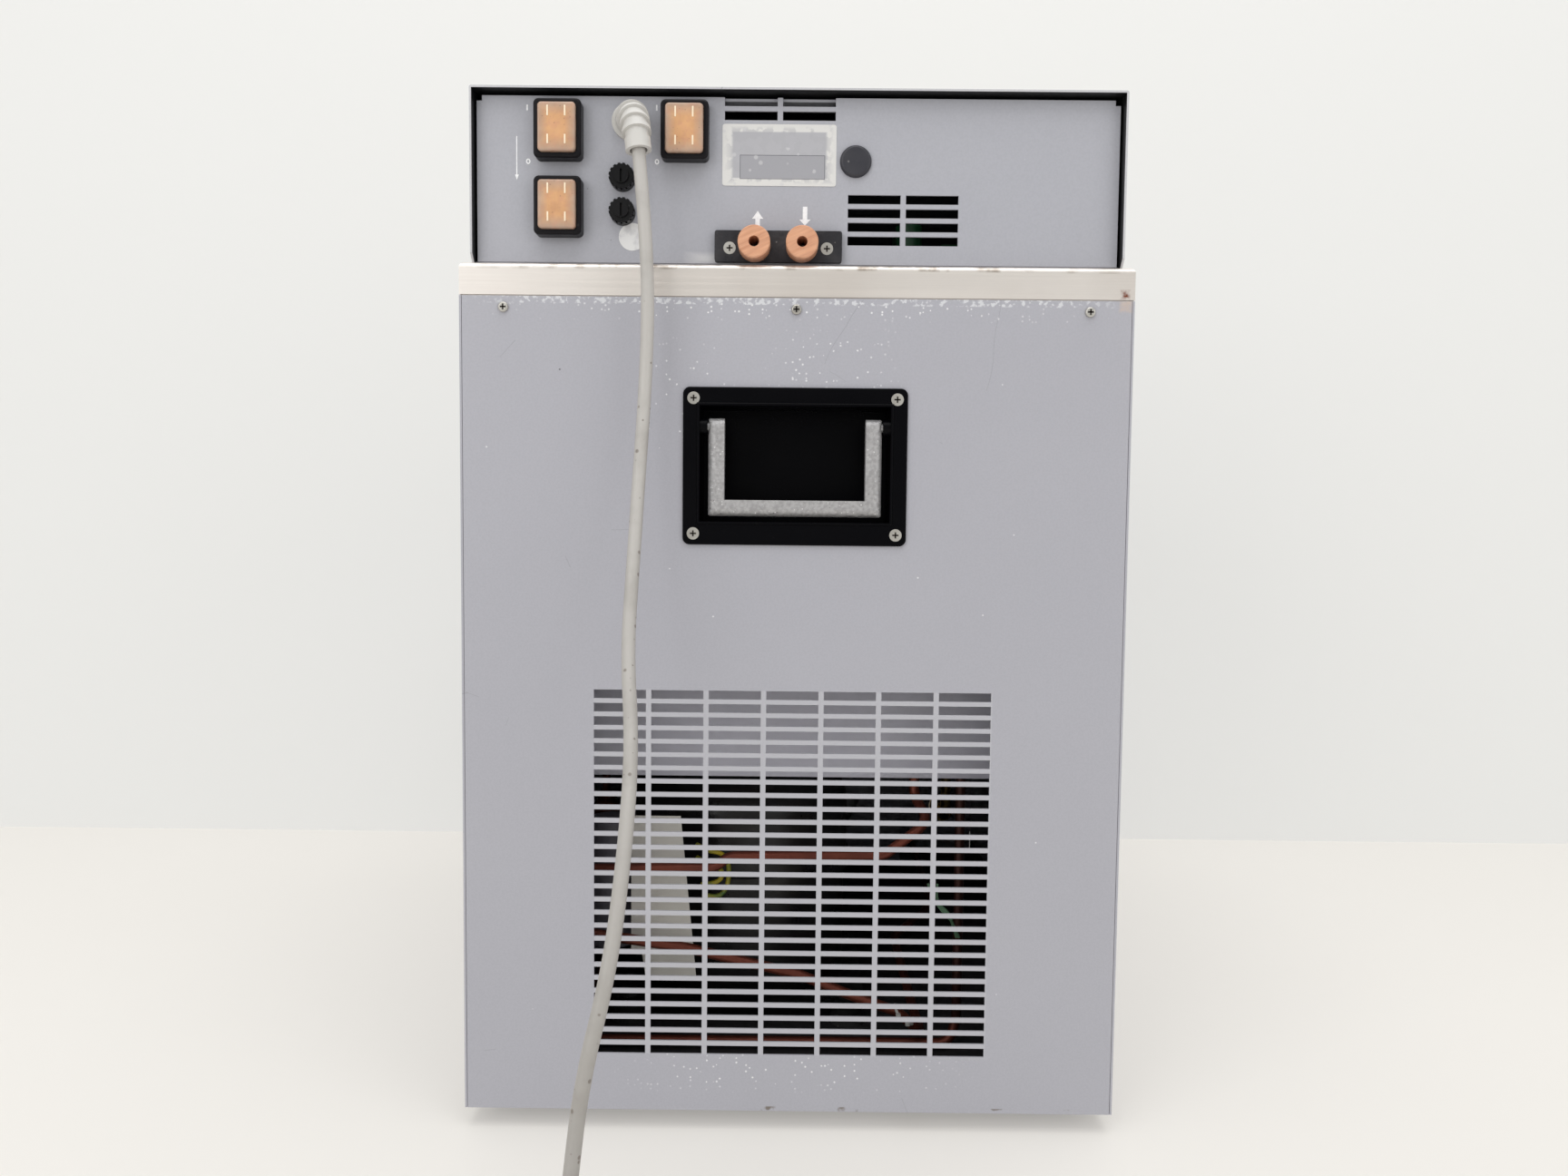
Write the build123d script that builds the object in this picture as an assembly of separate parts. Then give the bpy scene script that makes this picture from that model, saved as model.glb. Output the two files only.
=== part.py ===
from build123d import *
import os
from math import cos, degrees, pi, radians, sin, sqrt, tan

# Refrigerated circulator, in millimetres. +Z is up and -Y is the service side, with the cord,
# switches and grille. The user's side, with the display and the lid, is +Y. The origin is on the
# ground under the middle of the machine, measured without its cord.

# Cabinet
WIDTH = 380.0
DEPTH = 540.0
GROUND_GAP = 12.0
PANEL_HEIGHT = 472.0
SHEET = 1.2
SHEET_GAP = 0.3
SEAM_GAP = 0.6
FLANGE = 18.0
RETURN_WIDTH = 14.0
RETURN_MARGIN = 18.0
PAN_SHEET = 2.0
PAN_LIP = 12.0
FOOT_RADIUS = 16.0
FOOT_INSET = 52.0
FOOT_PEG_RADIUS = 4.0

# Bath rim, tub and casing
RIM_HEIGHT = 18.0
RIM_SHEET = 1.5
RIM_ROUND = 3.0
RIM_LAP = 14.0
DECK_BORDER = 60.0
TUB_FRONT_GAP = 80.0
TUB_UNDER_HEAD = 100.0
TUB_DEPTH = 200.0
TUB_SHEET = 1.0
TUB_FLANGE = 12.0
TUB_ROUND = 18.0
CASING_SIDE_GAP = 25.0
CASING_BEHIND_TUB = 38.0
CASING_FRONT_GAP = 44.0
CASING_FLOOR = 197.0
CASING_SHEET = 1.0
COIL_ROOM = 9.0
EVAPORATOR_RADIUS = 3.8
EVAPORATOR_PITCH = 40.0
EVAPORATOR_LOW = 24.0

# Lid
LID_SHEET = 1.2
LID_OVERLAP = 14.0
LID_RAISE = 9.0
LID_BORDER = 22.0
KNOB_RADIUS = 18.0
KNOB_HEIGHT = 24.0

# Punched slots
SLOT_WIDTH = 30.0
SLOT_HEIGHT = 5.1
SLOT_PITCH_X = 33.05
SLOT_PITCH_Z = 7.765
GRILLE_COLUMNS = 7
GRILLE_ROWS = 28
GRILLE_BASE = GROUND_GAP + 33.9
LOUVRE_WIDTH = 100.0
LOUVRE_PITCH_X = 108.0
LOUVRE_COLUMNS = 2
LOUVRE_ROWS = 14
LOUVRE_PITCH_Z = 10.0

# Screws
SCREW_HEAD_RADIUS = 2.9
SCREW_HEAD_HEIGHT = 1.7
SCREW_RADIUS = 1.9
SCREW_LENGTH = 8.0
SCREW_PLAY = 0.1
TOP_SCREW_INSET = 25.0
BASE_SCREW_SPACING = 101.0
SINK_HEAD_RADIUS = 3.5
SINK_HEAD_HEIGHT = 2.0
CROSS_WIDTH = 0.9

# Chest handle
TRAY_WIDTH = 127.0
TRAY_HEIGHT = 89.0
TRAY_DROP = 95.0
TRAY_FLANGE = 1.8
TRAY_WALL = 1.6
TRAY_ROUND = 4.0
TRAY_EDGE = 0.9
TRAY_BEAD = 0.8
RECESS_WIDTH = 108.0
RECESS_HEIGHT = 65.5
RECESS_DEPTH = 36.0
RECESS_RISE = 1.4
TRAY_SCREW_X = 57.5
TRAY_SCREW_Z = 38.2
BAIL_WIDTH = 98.6
BAIL_DROP = 55.4
BAIL_BAR = 9.3
BAIL_TOP_BELOW_RECESS = 7.1
PIVOT_RADIUS = 2.5
PIVOT_BITE = 3.5
RUNNING_FIT = 0.06

# Control head
HEAD_HEIGHT = 99.3
HEAD_SIDE_INSET = 4.5
HEAD_SHEET = 1.3
HEAD_SETBACK = 7.0
HEAD_LENGTH = 193.0
HEAD_CHAMFER = 6.0
HEAD_BASE_SHEET = 3.0
FACE_SETBACK = 14.0
FACE_SHEET = 1.5
FACE_SIDE_GAP = 1.3
FACE_TOP_GAP = 3.3
FACE_NOTCH = 3.0
FACE_FOLD = 16.0
FASCIA_REACH = 34.0
FASCIA_BACK = 6.0
FASCIA_WALL = 3.0
WINDOW_WIDTH = 150.0
WINDOW_HEIGHT = 44.0
WINDOW_SHEET = 1.6

# Features on the head's service face: places are (x, height above the deck)
SWITCH_PLACES = [(-135.6, 75.7), (-135.6, 33.1), (-64.0, 75.7)]
BEZEL_WIDTH = 27.0
BEZEL_HEIGHT = 32.8
BEZEL_DEPTH = 9.0
BEZEL_ROUND = 3.0
BEZEL_EDGE = 1.5
BEZEL_RIM = 2.5
SWITCH_BODY_DEPTH = 24.0
SWITCH_BODY_WALL = 1.8
COVER_WALL = 0.7
COVER_SEAT = 4.5
COVER_PROUD = 2.6
COVER_GAP = 0.3
COVER_ROUND = 2.2
COVER_EDGE = 1.3
ROCKER_WIDTH = 15.0
ROCKER_HEIGHT = 21.0
ROCKER_FRONT = 7.6
ROCKER_HORN = 1.1
ROCKER_TILT = 9.0
ROCKER_SIDE_GAP = 0.5
ROCKER_PIN_RADIUS = 1.5
FUSE_PLACES = [(-99.6, 49.9), (-99.6, 30.9)]
FUSE_RADIUS = 7.2
FUSE_BODY_RADIUS = 6.2
FUSE_BODY_DEPTH = 32.0
FUSE_FLANGE = 2.0
FUSE_CAP_HEIGHT = 6.5
FUSE_STEM_RADIUS = 3.0
FUSE_STEM_LENGTH = 14.0
FUSE_RIBS = 16
PORT_RISE = 12.2
PORT_XS = [-24.2, 2.8]
PORT_BLOCK_WIDTH = 72.5
PORT_BLOCK_HEIGHT = 17.6
PORT_BLOCK_DEPTH = 4.0
PORT_BUSH_RADIUS = 9.1
PORT_BUSH_PROUD = 3.0
PORT_BORE_RADIUS = 3.0
PORT_SCREW_DROP = 1.1
PORT_SCREW_SPACING = 55.4
PLUG_PLACE = (32.9, 60.7)
PLUG_RADIUS = 9.0
PLUG_STEM_RADIUS = 7.0
VENT_COLUMNS = 2
TOP_VENT = (-41.8, 83.4)
TOP_VENT_ROWS = 2
LOW_VENT = (28.8, 13.9)
LOW_VENT_ROWS = 4

# Strain relief
RELIEF_PLACE = (-95.2, 81.5)
RELIEF_BASE_RADIUS = 10.4
RELIEF_BASE_HEIGHT = 3.5
RELIEF_ROOT_RADIUS = 8.3
RELIEF_TIP_RADIUS = 5.9
RELIEF_RIBS = 4
RELIEF_RIB_HEIGHT = 1.5
RELIEF_RIB_WIDTH = 2.4
RELIEF_FIRST_RIB = 0.3
RELIEF_RIB_STEP = 0.145
RELIEF_COLLAR_RADIUS = 7.1
RELIEF_COLLAR_LENGTH = 6.5
RELIEF_MOUTH_DEPTH = 4.0
RELIEF_MOUTH_ROOM = 1.2
RELIEF_STEM = 7.0
RELIEF_SHIFT = (5.5, 8.3)
RELIEF_FALL = 24.5
RELIEF_REACH = 30.0

# Pump, heater and board in the head
PUMP_TO_FASCIA = 48.0
PUMP_TO_TUB = 8.0
PUMP_MOTOR_SHARE = 1.2
PUMP_MOTOR_HEIGHT = 70.0
PUMP_TUBE_RADIUS = 15.0
PUMP_TUBE_WALL = 2.0
PUMP_DEPTH = 150.0
VOLUTE_SHARE = 0.32
VOLUTE_HEIGHT = 24.0
IMPELLER_ROOM = 7.0
IMPELLER_HEIGHT = 12.0
IMPELLER_VANES = 6
PUMP_SHAFT_RADIUS = 4.0
PUMP_PIPE_RADIUS = 4.5
PUMP_PIPE_DROP = 80.0
PUMP_PIPE_WALL = 1.7
PUMP_PIPE_BEND = 8.0
HEATER_RADIUS = 4.0
HEATER_LEFT = 30.0
HEATER_TO_TUB = 25.0
HEATER_TO_FASCIA = 32.0
HEATER_DEPTH = 165.0
BOARD_SIZE = (120.0, 70.0, 1.6)
BOARD_SIDE_GAP = 14.2
BOARD_SETBACK = 75.0
TRANSFORMER_SIZE = (42.0, 36.0, 32.0)
TRANSFORMER_PLACE = (32.0, -8.0)
BOARD_RELAY_SIZE = (16.0, 28.0, 16.0)
BOARD_RELAY_PLACE = (-12.0, 14.0)
BOARD_CAN_RADIUS = 8.0
BOARD_CAN_HEIGHT = 22.0
BOARD_CAN_PLACES = [(-42.0, -18.0), (-42.0, 6.0)]

# Refrigeration
COMPRESSOR_PLACE = (-35.0, 175.0)
COMPRESSOR_RADIUS = 78.0
COMPRESSOR_TOP = 187.0
MOUNT_HEIGHT = 13.0
MOUNT_RADIUS = 13.0
MOUNT_SPREAD = (75.0, 56.0)
COMPRESSOR_PLATE = 3.5
SHELL_STEP = 2.0
SHELL_SHOULDER = 26.0
SHELL_CROWN = 9.0
PIPE_GAP = 0.05
RELAY_X = (-102.0, -58.0)
RELAY_Z = (66.0, 176.0)
RELAY_SETBACK = 53.0
RELAY_DEPTH = 70.0
RELAY_DRAFT = 3.0
CAPACITOR_RADIUS = 15.0
CAPACITOR_Z = (84.0, 166.0)
CAPACITOR_SETBACK = 78.0
PIPE_RADIUS = 3.2
PIPE_BEND = 12.0
DRIER_PLACE = (-140.0, 215.0)
RISER_INSET = 14.0
DRIER_RADIUS = 11.0
DRIER_Z = (60.0, 150.0)
CONDENSER_WIDTH = 216.0
CONDENSER_Z = (24.0, 184.0)
CONDENSER_DEPTH = 40.0
CONDENSER_SETBACK = 14.0
CONDENSER_PLATE = 3.0
CONDENSER_FINS = 27
FIN_THICKNESS = 2.0
FIN_GROOVE = 6.0
SHROUD_DEPTH = 26.0
SHROUD_SHEET = 1.5
FAN_OPENING_RADIUS = 70.0
FAN_RADIUS = 65.0
FAN_BLADES = 5
FAN_HUB_RADIUS = 20.0
FAN_DEPTH = 16.0
FAN_SHAFT_RADIUS = 3.0
FAN_SHAFT_REACH = 22.0
FAN_MOTOR_RADIUS = 32.0
FAN_MOTOR_LENGTH = 44.0

# Drain
DRAIN_INSET = 34.0
DRAIN_Z = 60.0
DRAIN_REACH = 30.0
DRAIN_BODY_RADIUS = 10.0
DRAIN_BODY_INSIDE = 26.0
DRAIN_BODY_PROUD = 16.0
DRAIN_BORE_RADIUS = 3.0
DRAIN_BARB_RADIUS = 5.5
DRAIN_STEM_RADIUS = 3.0
DRAIN_STEM_PROUD = 9.0
DRAIN_STEM_BITE = 5.0
DRAIN_RUN = 24.0
TAP_LENGTH = 24.0
TAP_WIDTH = 9.0
TAP_HEIGHT = 6.0
DRAIN_PIPE_RADIUS = 5.0

# Mains lead
CORD_RADIUS = 3.65
COIL_MEAN_RADIUS = 40.0
COIL_HALF_WIDTH = 11.0
COIL_HEIGHT = 14.6
COIL_PLACE = (-58.0, -330.0)
COIL_ENTRY = 46.0
ROUTE_HEIGHT = 563.0
MAINS_PLUG_LENGTH = 36.0
MAINS_PLUG_WIDTH = 30.0
MAINS_PLUG_HEIGHT = 24.0
MAINS_PLUG_BOOT = 24.0
PIN_LENGTH = 17.0
PIN_SPACING = 12.7

# Places that follow from the sizes
REAR = -(DEPTH + DRAIN_REACH - PORT_BUSH_PROUD) / 2
FRONT = REAR + DEPTH
HALF_WIDTH = WIDTH / 2
PANEL_INSIDE = HALF_WIDTH - SHEET - SHEET_GAP
PAN_Z = GROUND_GAP + SHEET
PAN_TOP = PAN_Z + PAN_SHEET
SEAM_Z = GROUND_GAP + PANEL_HEIGHT
DECK_Z = SEAM_Z + RIM_HEIGHT
DECK_UNDER = DECK_Z - RIM_SHEET
TOP_Z = DECK_Z + HEAD_HEIGHT
TOP_SCREW_Z = SEAM_Z - RIM_LAP / 2
TOP_SCREW_SPACING = HALF_WIDTH - TOP_SCREW_INSET
TRAY_CENTRE_Z = SEAM_Z - TRAY_DROP
HEAD_BACK = REAR + HEAD_SETBACK
HEAD_FRONT = HEAD_BACK + HEAD_LENGTH
HEAD_WIDTH = WIDTH - 2 * HEAD_SIDE_INSET
TUB_X = (DECK_BORDER - HALF_WIDTH, HALF_WIDTH - DECK_BORDER)
TUB_Y = (HEAD_FRONT - TUB_UNDER_HEAD, FRONT - TUB_FRONT_GAP)
TUB_RIM_Z = DECK_UNDER - TUB_SHEET
TUB_FLOOR = DECK_UNDER - TUB_DEPTH
CASING_X = (CASING_SIDE_GAP - HALF_WIDTH, HALF_WIDTH - CASING_SIDE_GAP)
CASING_Y = (TUB_Y[0] - CASING_BEHIND_TUB, FRONT - CASING_FRONT_GAP)
RISER_DEPTH = CASING_Y[0] - REAR + RISER_INSET
HEAD_INSIDE = HEAD_WIDTH / 2 - HEAD_SHEET
HEAD_FLOOR = DECK_Z + HEAD_BASE_SHEET
FACE_Y = REAR + FACE_SETBACK
FACE_INNER = FACE_Y + FACE_SHEET
FACE_TOP = TOP_Z - FACE_TOP_GAP
BUSH_FACE = REAR - PORT_BUSH_PROUD
BLOCK_FACE = FACE_Y - PORT_BLOCK_DEPTH
PORT_Z = DECK_Z + PORT_RISE
VOLUTE_RADIUS = VOLUTE_SHARE * (PORT_XS[0] - TUB_X[0])
IMPELLER_RADIUS = VOLUTE_RADIUS - IMPELLER_ROOM
PUMP_MOTOR_RADIUS = PUMP_MOTOR_SHARE * VOLUTE_RADIUS
PUMP_X = TUB_X[0] + PUMP_TO_TUB + VOLUTE_RADIUS
PUMP_Y = HEAD_FRONT - PUMP_TO_FASCIA
HEATER_XS = (HEATER_LEFT, TUB_X[1] - HEATER_TO_TUB)
HEATER_Y = HEAD_FRONT - HEATER_TO_FASCIA
DRAIN_X = HALF_WIDTH - DRAIN_INSET


def grow(span, amount):
    """Widen a (low, high) span by the same amount at both ends."""
    return (span[0] - amount, span[1] + amount)


def about(centre, width):
    """The (low, high) span of a width about its centre."""
    return (centre - width / 2, centre + width / 2)


def block(x, y, z):
    """A box from three (low, high) spans."""
    spans = (x, y, z)
    centre = [(low + high) / 2 for low, high in spans]
    return Pos(*centre) * Box(*[high - low for low, high in spans])


def rounded(x, y, z, axis, radius):
    """A box whose edges along one axis are rounded."""
    return fillet(block(x, y, z).edges().filter_by(axis), radius)


def post(x, y, z, radius):
    """A cylinder along Z."""
    return Pos(x, y, sum(z) / 2) * Cylinder(radius, z[1] - z[0])


def pin_y(x, y, z, radius):
    """A cylinder along Y."""
    return Pos(x, sum(y) / 2, z) * Rot(90, 0, 0) * Cylinder(radius, y[1] - y[0])


def pin_x(x, y, z, radius):
    """A cylinder along X."""
    return Pos(sum(x) / 2, y, z) * Rot(0, 90, 0) * Cylinder(radius, x[1] - x[0])


def inward(face, side, near, far):
    """The Y span between two depths behind an end face; side is +1 at the rear, -1 at the front."""
    return tuple(sorted((face + side * near, face + side * far)))


def bent_tube(points, radius, bend, bore=0):
    """A bar or tube along straight runs joined by bends, each no larger than its runs allow."""
    vectors = [Vector(*point) for point in points]
    radii = []
    for before, corner, after in zip(vectors, vectors[1:], vectors[2:]):
        run = min((corner - before).length, (after - corner).length)
        turn = radians((corner - before).get_angle(after - corner))
        radii.append(min(bend, 0.45 * run / tan(turn / 2)))
    path = FilletPolyline(*points, radius=radii)
    across = Plane(origin=path @ 0, z_dir=path % 0)
    tube = sweep(across * Circle(radius), path=path)
    return tube - sweep(across * Circle(bore), path=path) if bore else tube


def slot_cutter(low_x, low_z, columns, rows, y, width, height, pitch_x, pitch_z):
    """A field of rectangular punches through a sheet that spans y."""
    punches = []
    for column in range(columns):
        for row in range(rows):
            x = low_x + column * pitch_x
            z = low_z + row * pitch_z
            punches.append(block((x, x + width), y, (z, z + height)))
    return punches


def above_deck(places):
    """Turn (x, height above the deck) into x and z of the model."""
    return [(x, DECK_Z + height) for x, height in places]


def vent_cutter(place, rows):
    low_x, low_z = above_deck([place])[0]
    sheet = grow((FACE_Y, FACE_INNER), 1)
    return slot_cutter(low_x, low_z, VENT_COLUMNS, rows, sheet, SLOT_WIDTH, SLOT_HEIGHT,
                       SLOT_PITCH_X, SLOT_PITCH_Z)


# Base and cabinet panels

def foot_places():
    xs = (-HALF_WIDTH + FOOT_INSET, HALF_WIDTH - FOOT_INSET)
    ys = (REAR + FOOT_INSET, FRONT - FOOT_INSET)
    return [(x, y) for x in xs for y in ys]


def base_screw_places():
    rows = (REAR + FLANGE / 2, FRONT - FLANGE / 2)
    return [(x * BASE_SCREW_SPACING, y) for x in (-1, 0, 1) for y in rows]


def make_feet():
    """Push-in rubber feet with a hollow sole and a peg through the pan."""
    feet = []
    for x, y in foot_places():
        pad = Pos(x, y, PAN_Z / 2) * Cone(FOOT_RADIUS, FOOT_RADIUS - 2, PAN_Z)
        peg = post(x, y, (PAN_Z - 1, PAN_TOP + 2), FOOT_PEG_RADIUS)
        hollow = post(x, y, (-1, PAN_Z / 2), FOOT_RADIUS / 2)
        feet.append(pad + peg - hollow)
    return feet


def make_base_pan():
    """A folded pan that lies on the panels' bottom flanges, inside their walls."""
    x = (-PANEL_INSIDE, PANEL_INSIDE)
    y = (REAR + SHEET + SHEET_GAP, FRONT - SHEET - SHEET_GAP)
    pan = block(x, y, (PAN_Z, PAN_TOP))
    lip_y = (REAR + FLANGE, FRONT - FLANGE)
    for side in (-1, 1):
        edge = sorted((side * PANEL_INSIDE, side * (PANEL_INSIDE - PAN_SHEET)))
        pan += block(edge, lip_y, (PAN_Z, PAN_TOP + PAN_LIP))
    for x, y in foot_places():
        pan -= post(x, y, grow((PAN_Z, PAN_TOP), 1), FOOT_PEG_RADIUS + SCREW_PLAY)
    for x, y in base_screw_places():
        pan -= post(x, y, grow((PAN_Z, PAN_TOP), 1), SCREW_RADIUS + SCREW_PLAY)
    return pan


def end_panel(face, side):
    """A painted end panel with its bottom flange, screw holes and handle cut-out."""
    x = (-PANEL_INSIDE, PANEL_INSIDE)
    web = inward(face, side, 0, SHEET)
    panel = block(x, web, (GROUND_GAP, SEAM_Z - SEAM_GAP))
    panel += block(x, inward(face, side, 0, FLANGE), (GROUND_GAP, GROUND_GAP + SHEET))
    for place in (-1, 0, 1):
        panel -= pin_y(place * TOP_SCREW_SPACING, grow(web, 1), TOP_SCREW_Z,
                       SCREW_RADIUS + SCREW_PLAY)
        flange_y = face + side * FLANGE / 2
        panel -= post(place * BASE_SCREW_SPACING, flange_y, grow((GROUND_GAP, PAN_Z), 1),
                      SCREW_RADIUS + SCREW_PLAY)
    window_x = about(0, RECESS_WIDTH + 2 * TRAY_WALL + 2 * SHEET_GAP)
    window_z = about(TRAY_CENTRE_Z + RECESS_RISE, RECESS_HEIGHT + 2 * TRAY_WALL + 2 * SHEET_GAP)
    panel -= block(window_x, grow(web, 1), window_z)
    for x, z in tray_screw_places():
        panel -= pin_y(x, grow(web, 1), z, SCREW_RADIUS + SCREW_PLAY)
    return panel


def make_rear_panel():
    panel = end_panel(REAR, 1)
    span = (GRILLE_COLUMNS - 1) * SLOT_PITCH_X + SLOT_WIDTH
    return panel - slot_cutter(-span / 2, GRILLE_BASE, GRILLE_COLUMNS, GRILLE_ROWS,
                               grow((REAR, REAR + SHEET), 1), SLOT_WIDTH, SLOT_HEIGHT,
                               SLOT_PITCH_X, SLOT_PITCH_Z)


def make_front_panel():
    """The user's side draws air in through wider slots, and the drain comes out beside them."""
    panel = end_panel(FRONT, -1)
    span = (LOUVRE_COLUMNS - 1) * LOUVRE_PITCH_X + LOUVRE_WIDTH
    web = grow((FRONT - SHEET, FRONT), 1)
    panel -= slot_cutter(-span / 2, GRILLE_BASE, LOUVRE_COLUMNS, LOUVRE_ROWS, web,
                         LOUVRE_WIDTH, SLOT_HEIGHT, LOUVRE_PITCH_X, LOUVRE_PITCH_Z)
    return panel - pin_y(DRAIN_X, web, DRAIN_Z, DRAIN_BODY_RADIUS + SHEET_GAP)


def make_side_panel(side):
    """A side sheet with a bottom flange and a return behind each end panel."""
    def across(near, far):
        return tuple(sorted((side * (HALF_WIDTH - near), side * (HALF_WIDTH - far))))

    panel = block(across(0, SHEET), (REAR, FRONT), (GROUND_GAP, SEAM_Z - SEAM_GAP))
    flange_y = grow((REAR, FRONT), -FLANGE - 2 * RETURN_MARGIN / 3)
    panel += block(across(0, FLANGE), flange_y, (GROUND_GAP, PAN_Z))
    return_z = (PAN_TOP + RETURN_MARGIN, SEAM_Z - RIM_LAP - SHEET)
    for face, way in ((REAR, 1), (FRONT, -1)):
        behind = inward(face, way, SHEET, 2 * SHEET)
        panel += block(across(SHEET / 2, RETURN_WIDTH), behind, return_z)
    return panel


def pan_head_screw():
    """A pan-head screw along +Z with its head below zero and a cross recess."""
    head = Pos(0, 0, -SCREW_HEAD_HEIGHT / 2) * Cylinder(SCREW_HEAD_RADIUS, SCREW_HEAD_HEIGHT)
    head = fillet(head.edges().sort_by(Axis.Z)[0], SCREW_HEAD_HEIGHT * 0.6)
    shank = Pos(0, 0, SCREW_LENGTH / 2) * Cylinder(SCREW_RADIUS, SCREW_LENGTH)
    recess = Pos(0, 0, -SCREW_HEAD_HEIGHT)
    arms = [recess * Box(3.4, CROSS_WIDTH, 1.6), recess * Box(CROSS_WIDTH, 3.4, 1.6)]
    return head + shank - arms


def make_pan_head_screws():
    """The screws along the tops of the end panels, and those up through the bottom flanges."""
    screw = pan_head_screw()
    screws = []
    for place in (-1, 0, 1):
        x = place * TOP_SCREW_SPACING
        screws.append(Pos(x, REAR, TOP_SCREW_Z) * Rot(-90, 0, 0) * screw)
        screws.append(Pos(x, FRONT, TOP_SCREW_Z) * Rot(90, 0, 0) * screw)
    for x, y in base_screw_places():
        screws.append(Pos(x, y, GROUND_GAP) * screw)
    return screws


# Chest handles

def tray_screw_places():
    return [(x, TRAY_CENTRE_Z + z) for x in (-TRAY_SCREW_X, TRAY_SCREW_X)
            for z in (-TRAY_SCREW_Z, TRAY_SCREW_Z)]


def recess_span_z():
    return about(TRAY_CENTRE_Z + RECESS_RISE, RECESS_HEIGHT)


def pivot_place(face, side):
    """Y and Z of the bail's pivot: half a bar below its top, half a bar behind the flange."""
    top = recess_span_z()[1] - BAIL_TOP_BELOW_RECESS
    return face + side * (BAIL_BAR / 2 - TRAY_FLANGE), top - BAIL_BAR / 2


def outward_face(solid, side):
    """The face that looks out of the machine; side is +1 at the rear, -1 at the front."""
    return solid.faces().sort_by(Axis.Y)[0 if side > 0 else -1]


def make_handle_tray(face, side):
    """A moulded tray: a flange outside the panel, a beaded deep recess, and two pivot bosses."""
    recess_x = about(0, RECESS_WIDTH)
    recess_z = recess_span_z()
    flange_y = inward(face, side, -TRAY_FLANGE, 0)
    flange = rounded(about(0, TRAY_WIDTH), flange_y, about(TRAY_CENTRE_Z, TRAY_HEIGHT),
                     Axis.Y, TRAY_ROUND)
    bead = TRAY_FLANGE + TRAY_BEAD
    shell = block(grow(recess_x, TRAY_WALL), inward(face, side, -bead, RECESS_DEPTH),
                  grow(recess_z, TRAY_WALL))
    flange = fillet(outward_face(flange, side).edges(), TRAY_EDGE)
    shell = fillet(outward_face(shell, side).edges(), TRAY_BEAD)
    inside = inward(face, side, -bead - 1, RECESS_DEPTH - TRAY_WALL)
    tray = flange + shell - block(recess_x, inside, recess_z)
    pivot_y, pivot_z = pivot_place(face, side)
    boss_gap = BAIL_WIDTH / 2 + SHEET_GAP
    for way in (-1, 1):
        boss = sorted((way * boss_gap, way * (RECESS_WIDTH / 2 + TRAY_WALL / 2)))
        hole = sorted((way * (boss_gap - 1), way * (BAIL_WIDTH / 2 + PIVOT_BITE + SHEET_GAP)))
        tray += pin_x(boss, pivot_y, pivot_z, BAIL_BAR / 2)
        tray -= pin_x(hole, pivot_y, pivot_z, PIVOT_RADIUS + RUNNING_FIT)
    for x, z in tray_screw_places():
        tray -= pin_y(x, grow(flange_y, 1), z, SCREW_RADIUS + SCREW_PLAY)
        tray -= countersink(x, face - side * TRAY_FLANGE, z, side)
    return tray


def countersink(x, y, z, side):
    """The conical seat for a countersunk head whose top is flush at y."""
    depth = SINK_HEAD_HEIGHT + SCREW_PLAY
    cone = Cone(SCREW_RADIUS, SINK_HEAD_RADIUS + SCREW_PLAY, depth)
    centre = y + side * (depth / 2 - SCREW_PLAY)
    return Pos(x, centre, z) * Rot(90 * side, 0, 0) * cone


def countersunk_screw():
    """A countersunk screw along +Z with its flat head top at zero and a cross recess."""
    head_z = SINK_HEAD_HEIGHT / 2
    head = Pos(0, 0, head_z) * Cone(SINK_HEAD_RADIUS, SCREW_RADIUS - SCREW_PLAY, SINK_HEAD_HEIGHT)
    shank = Pos(0, 0, SCREW_LENGTH / 2) * Cylinder(SCREW_RADIUS - SCREW_PLAY, SCREW_LENGTH)
    arms = [Box(3.6, CROSS_WIDTH, 2.0), Box(CROSS_WIDTH, 3.6, 2.0)]
    return head + shank - arms


def make_countersunk_screws():
    """The screws of both handle trays and of the port block."""
    screw = countersunk_screw()
    screws = []
    for x, z in tray_screw_places():
        screws.append(Pos(x, REAR - TRAY_FLANGE, z) * Rot(-90, 0, 0) * screw)
        screws.append(Pos(x, FRONT + TRAY_FLANGE, z) * Rot(90, 0, 0) * screw)
    for x, z in port_screw_places():
        screws.append(Pos(x, BLOCK_FACE, z) * Rot(-90, 0, 0) * screw)
    return screws


def make_bail(face, side):
    """A square-bar U with rounded corners, hanging from stub pins at the tops of its legs."""
    pivot_y, pivot_z = pivot_place(face, side)
    top = pivot_z + BAIL_BAR / 2
    outer = rounded(about(0, BAIL_WIDTH), about(pivot_y, BAIL_BAR), (top - BAIL_DROP, top),
                    Axis.Y, 1.2)
    hollow_x = about(0, BAIL_WIDTH - 2 * BAIL_BAR)
    bail = outer - block(hollow_x, about(pivot_y, 2 * BAIL_BAR),
                         (top - BAIL_DROP + BAIL_BAR, top + 1))
    crown = bail.edges().filter_by(Axis.X).group_by(Axis.Z)[-1]
    bail = fillet(crown, BAIL_BAR / 2 - 0.1)
    for way in (-1, 1):
        stub = sorted((way * (BAIL_WIDTH / 2 - 2), way * (BAIL_WIDTH / 2 + PIVOT_BITE)))
        bail += pin_x(stub, pivot_y, pivot_z, PIVOT_RADIUS)
    return bail


# Bath

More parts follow.
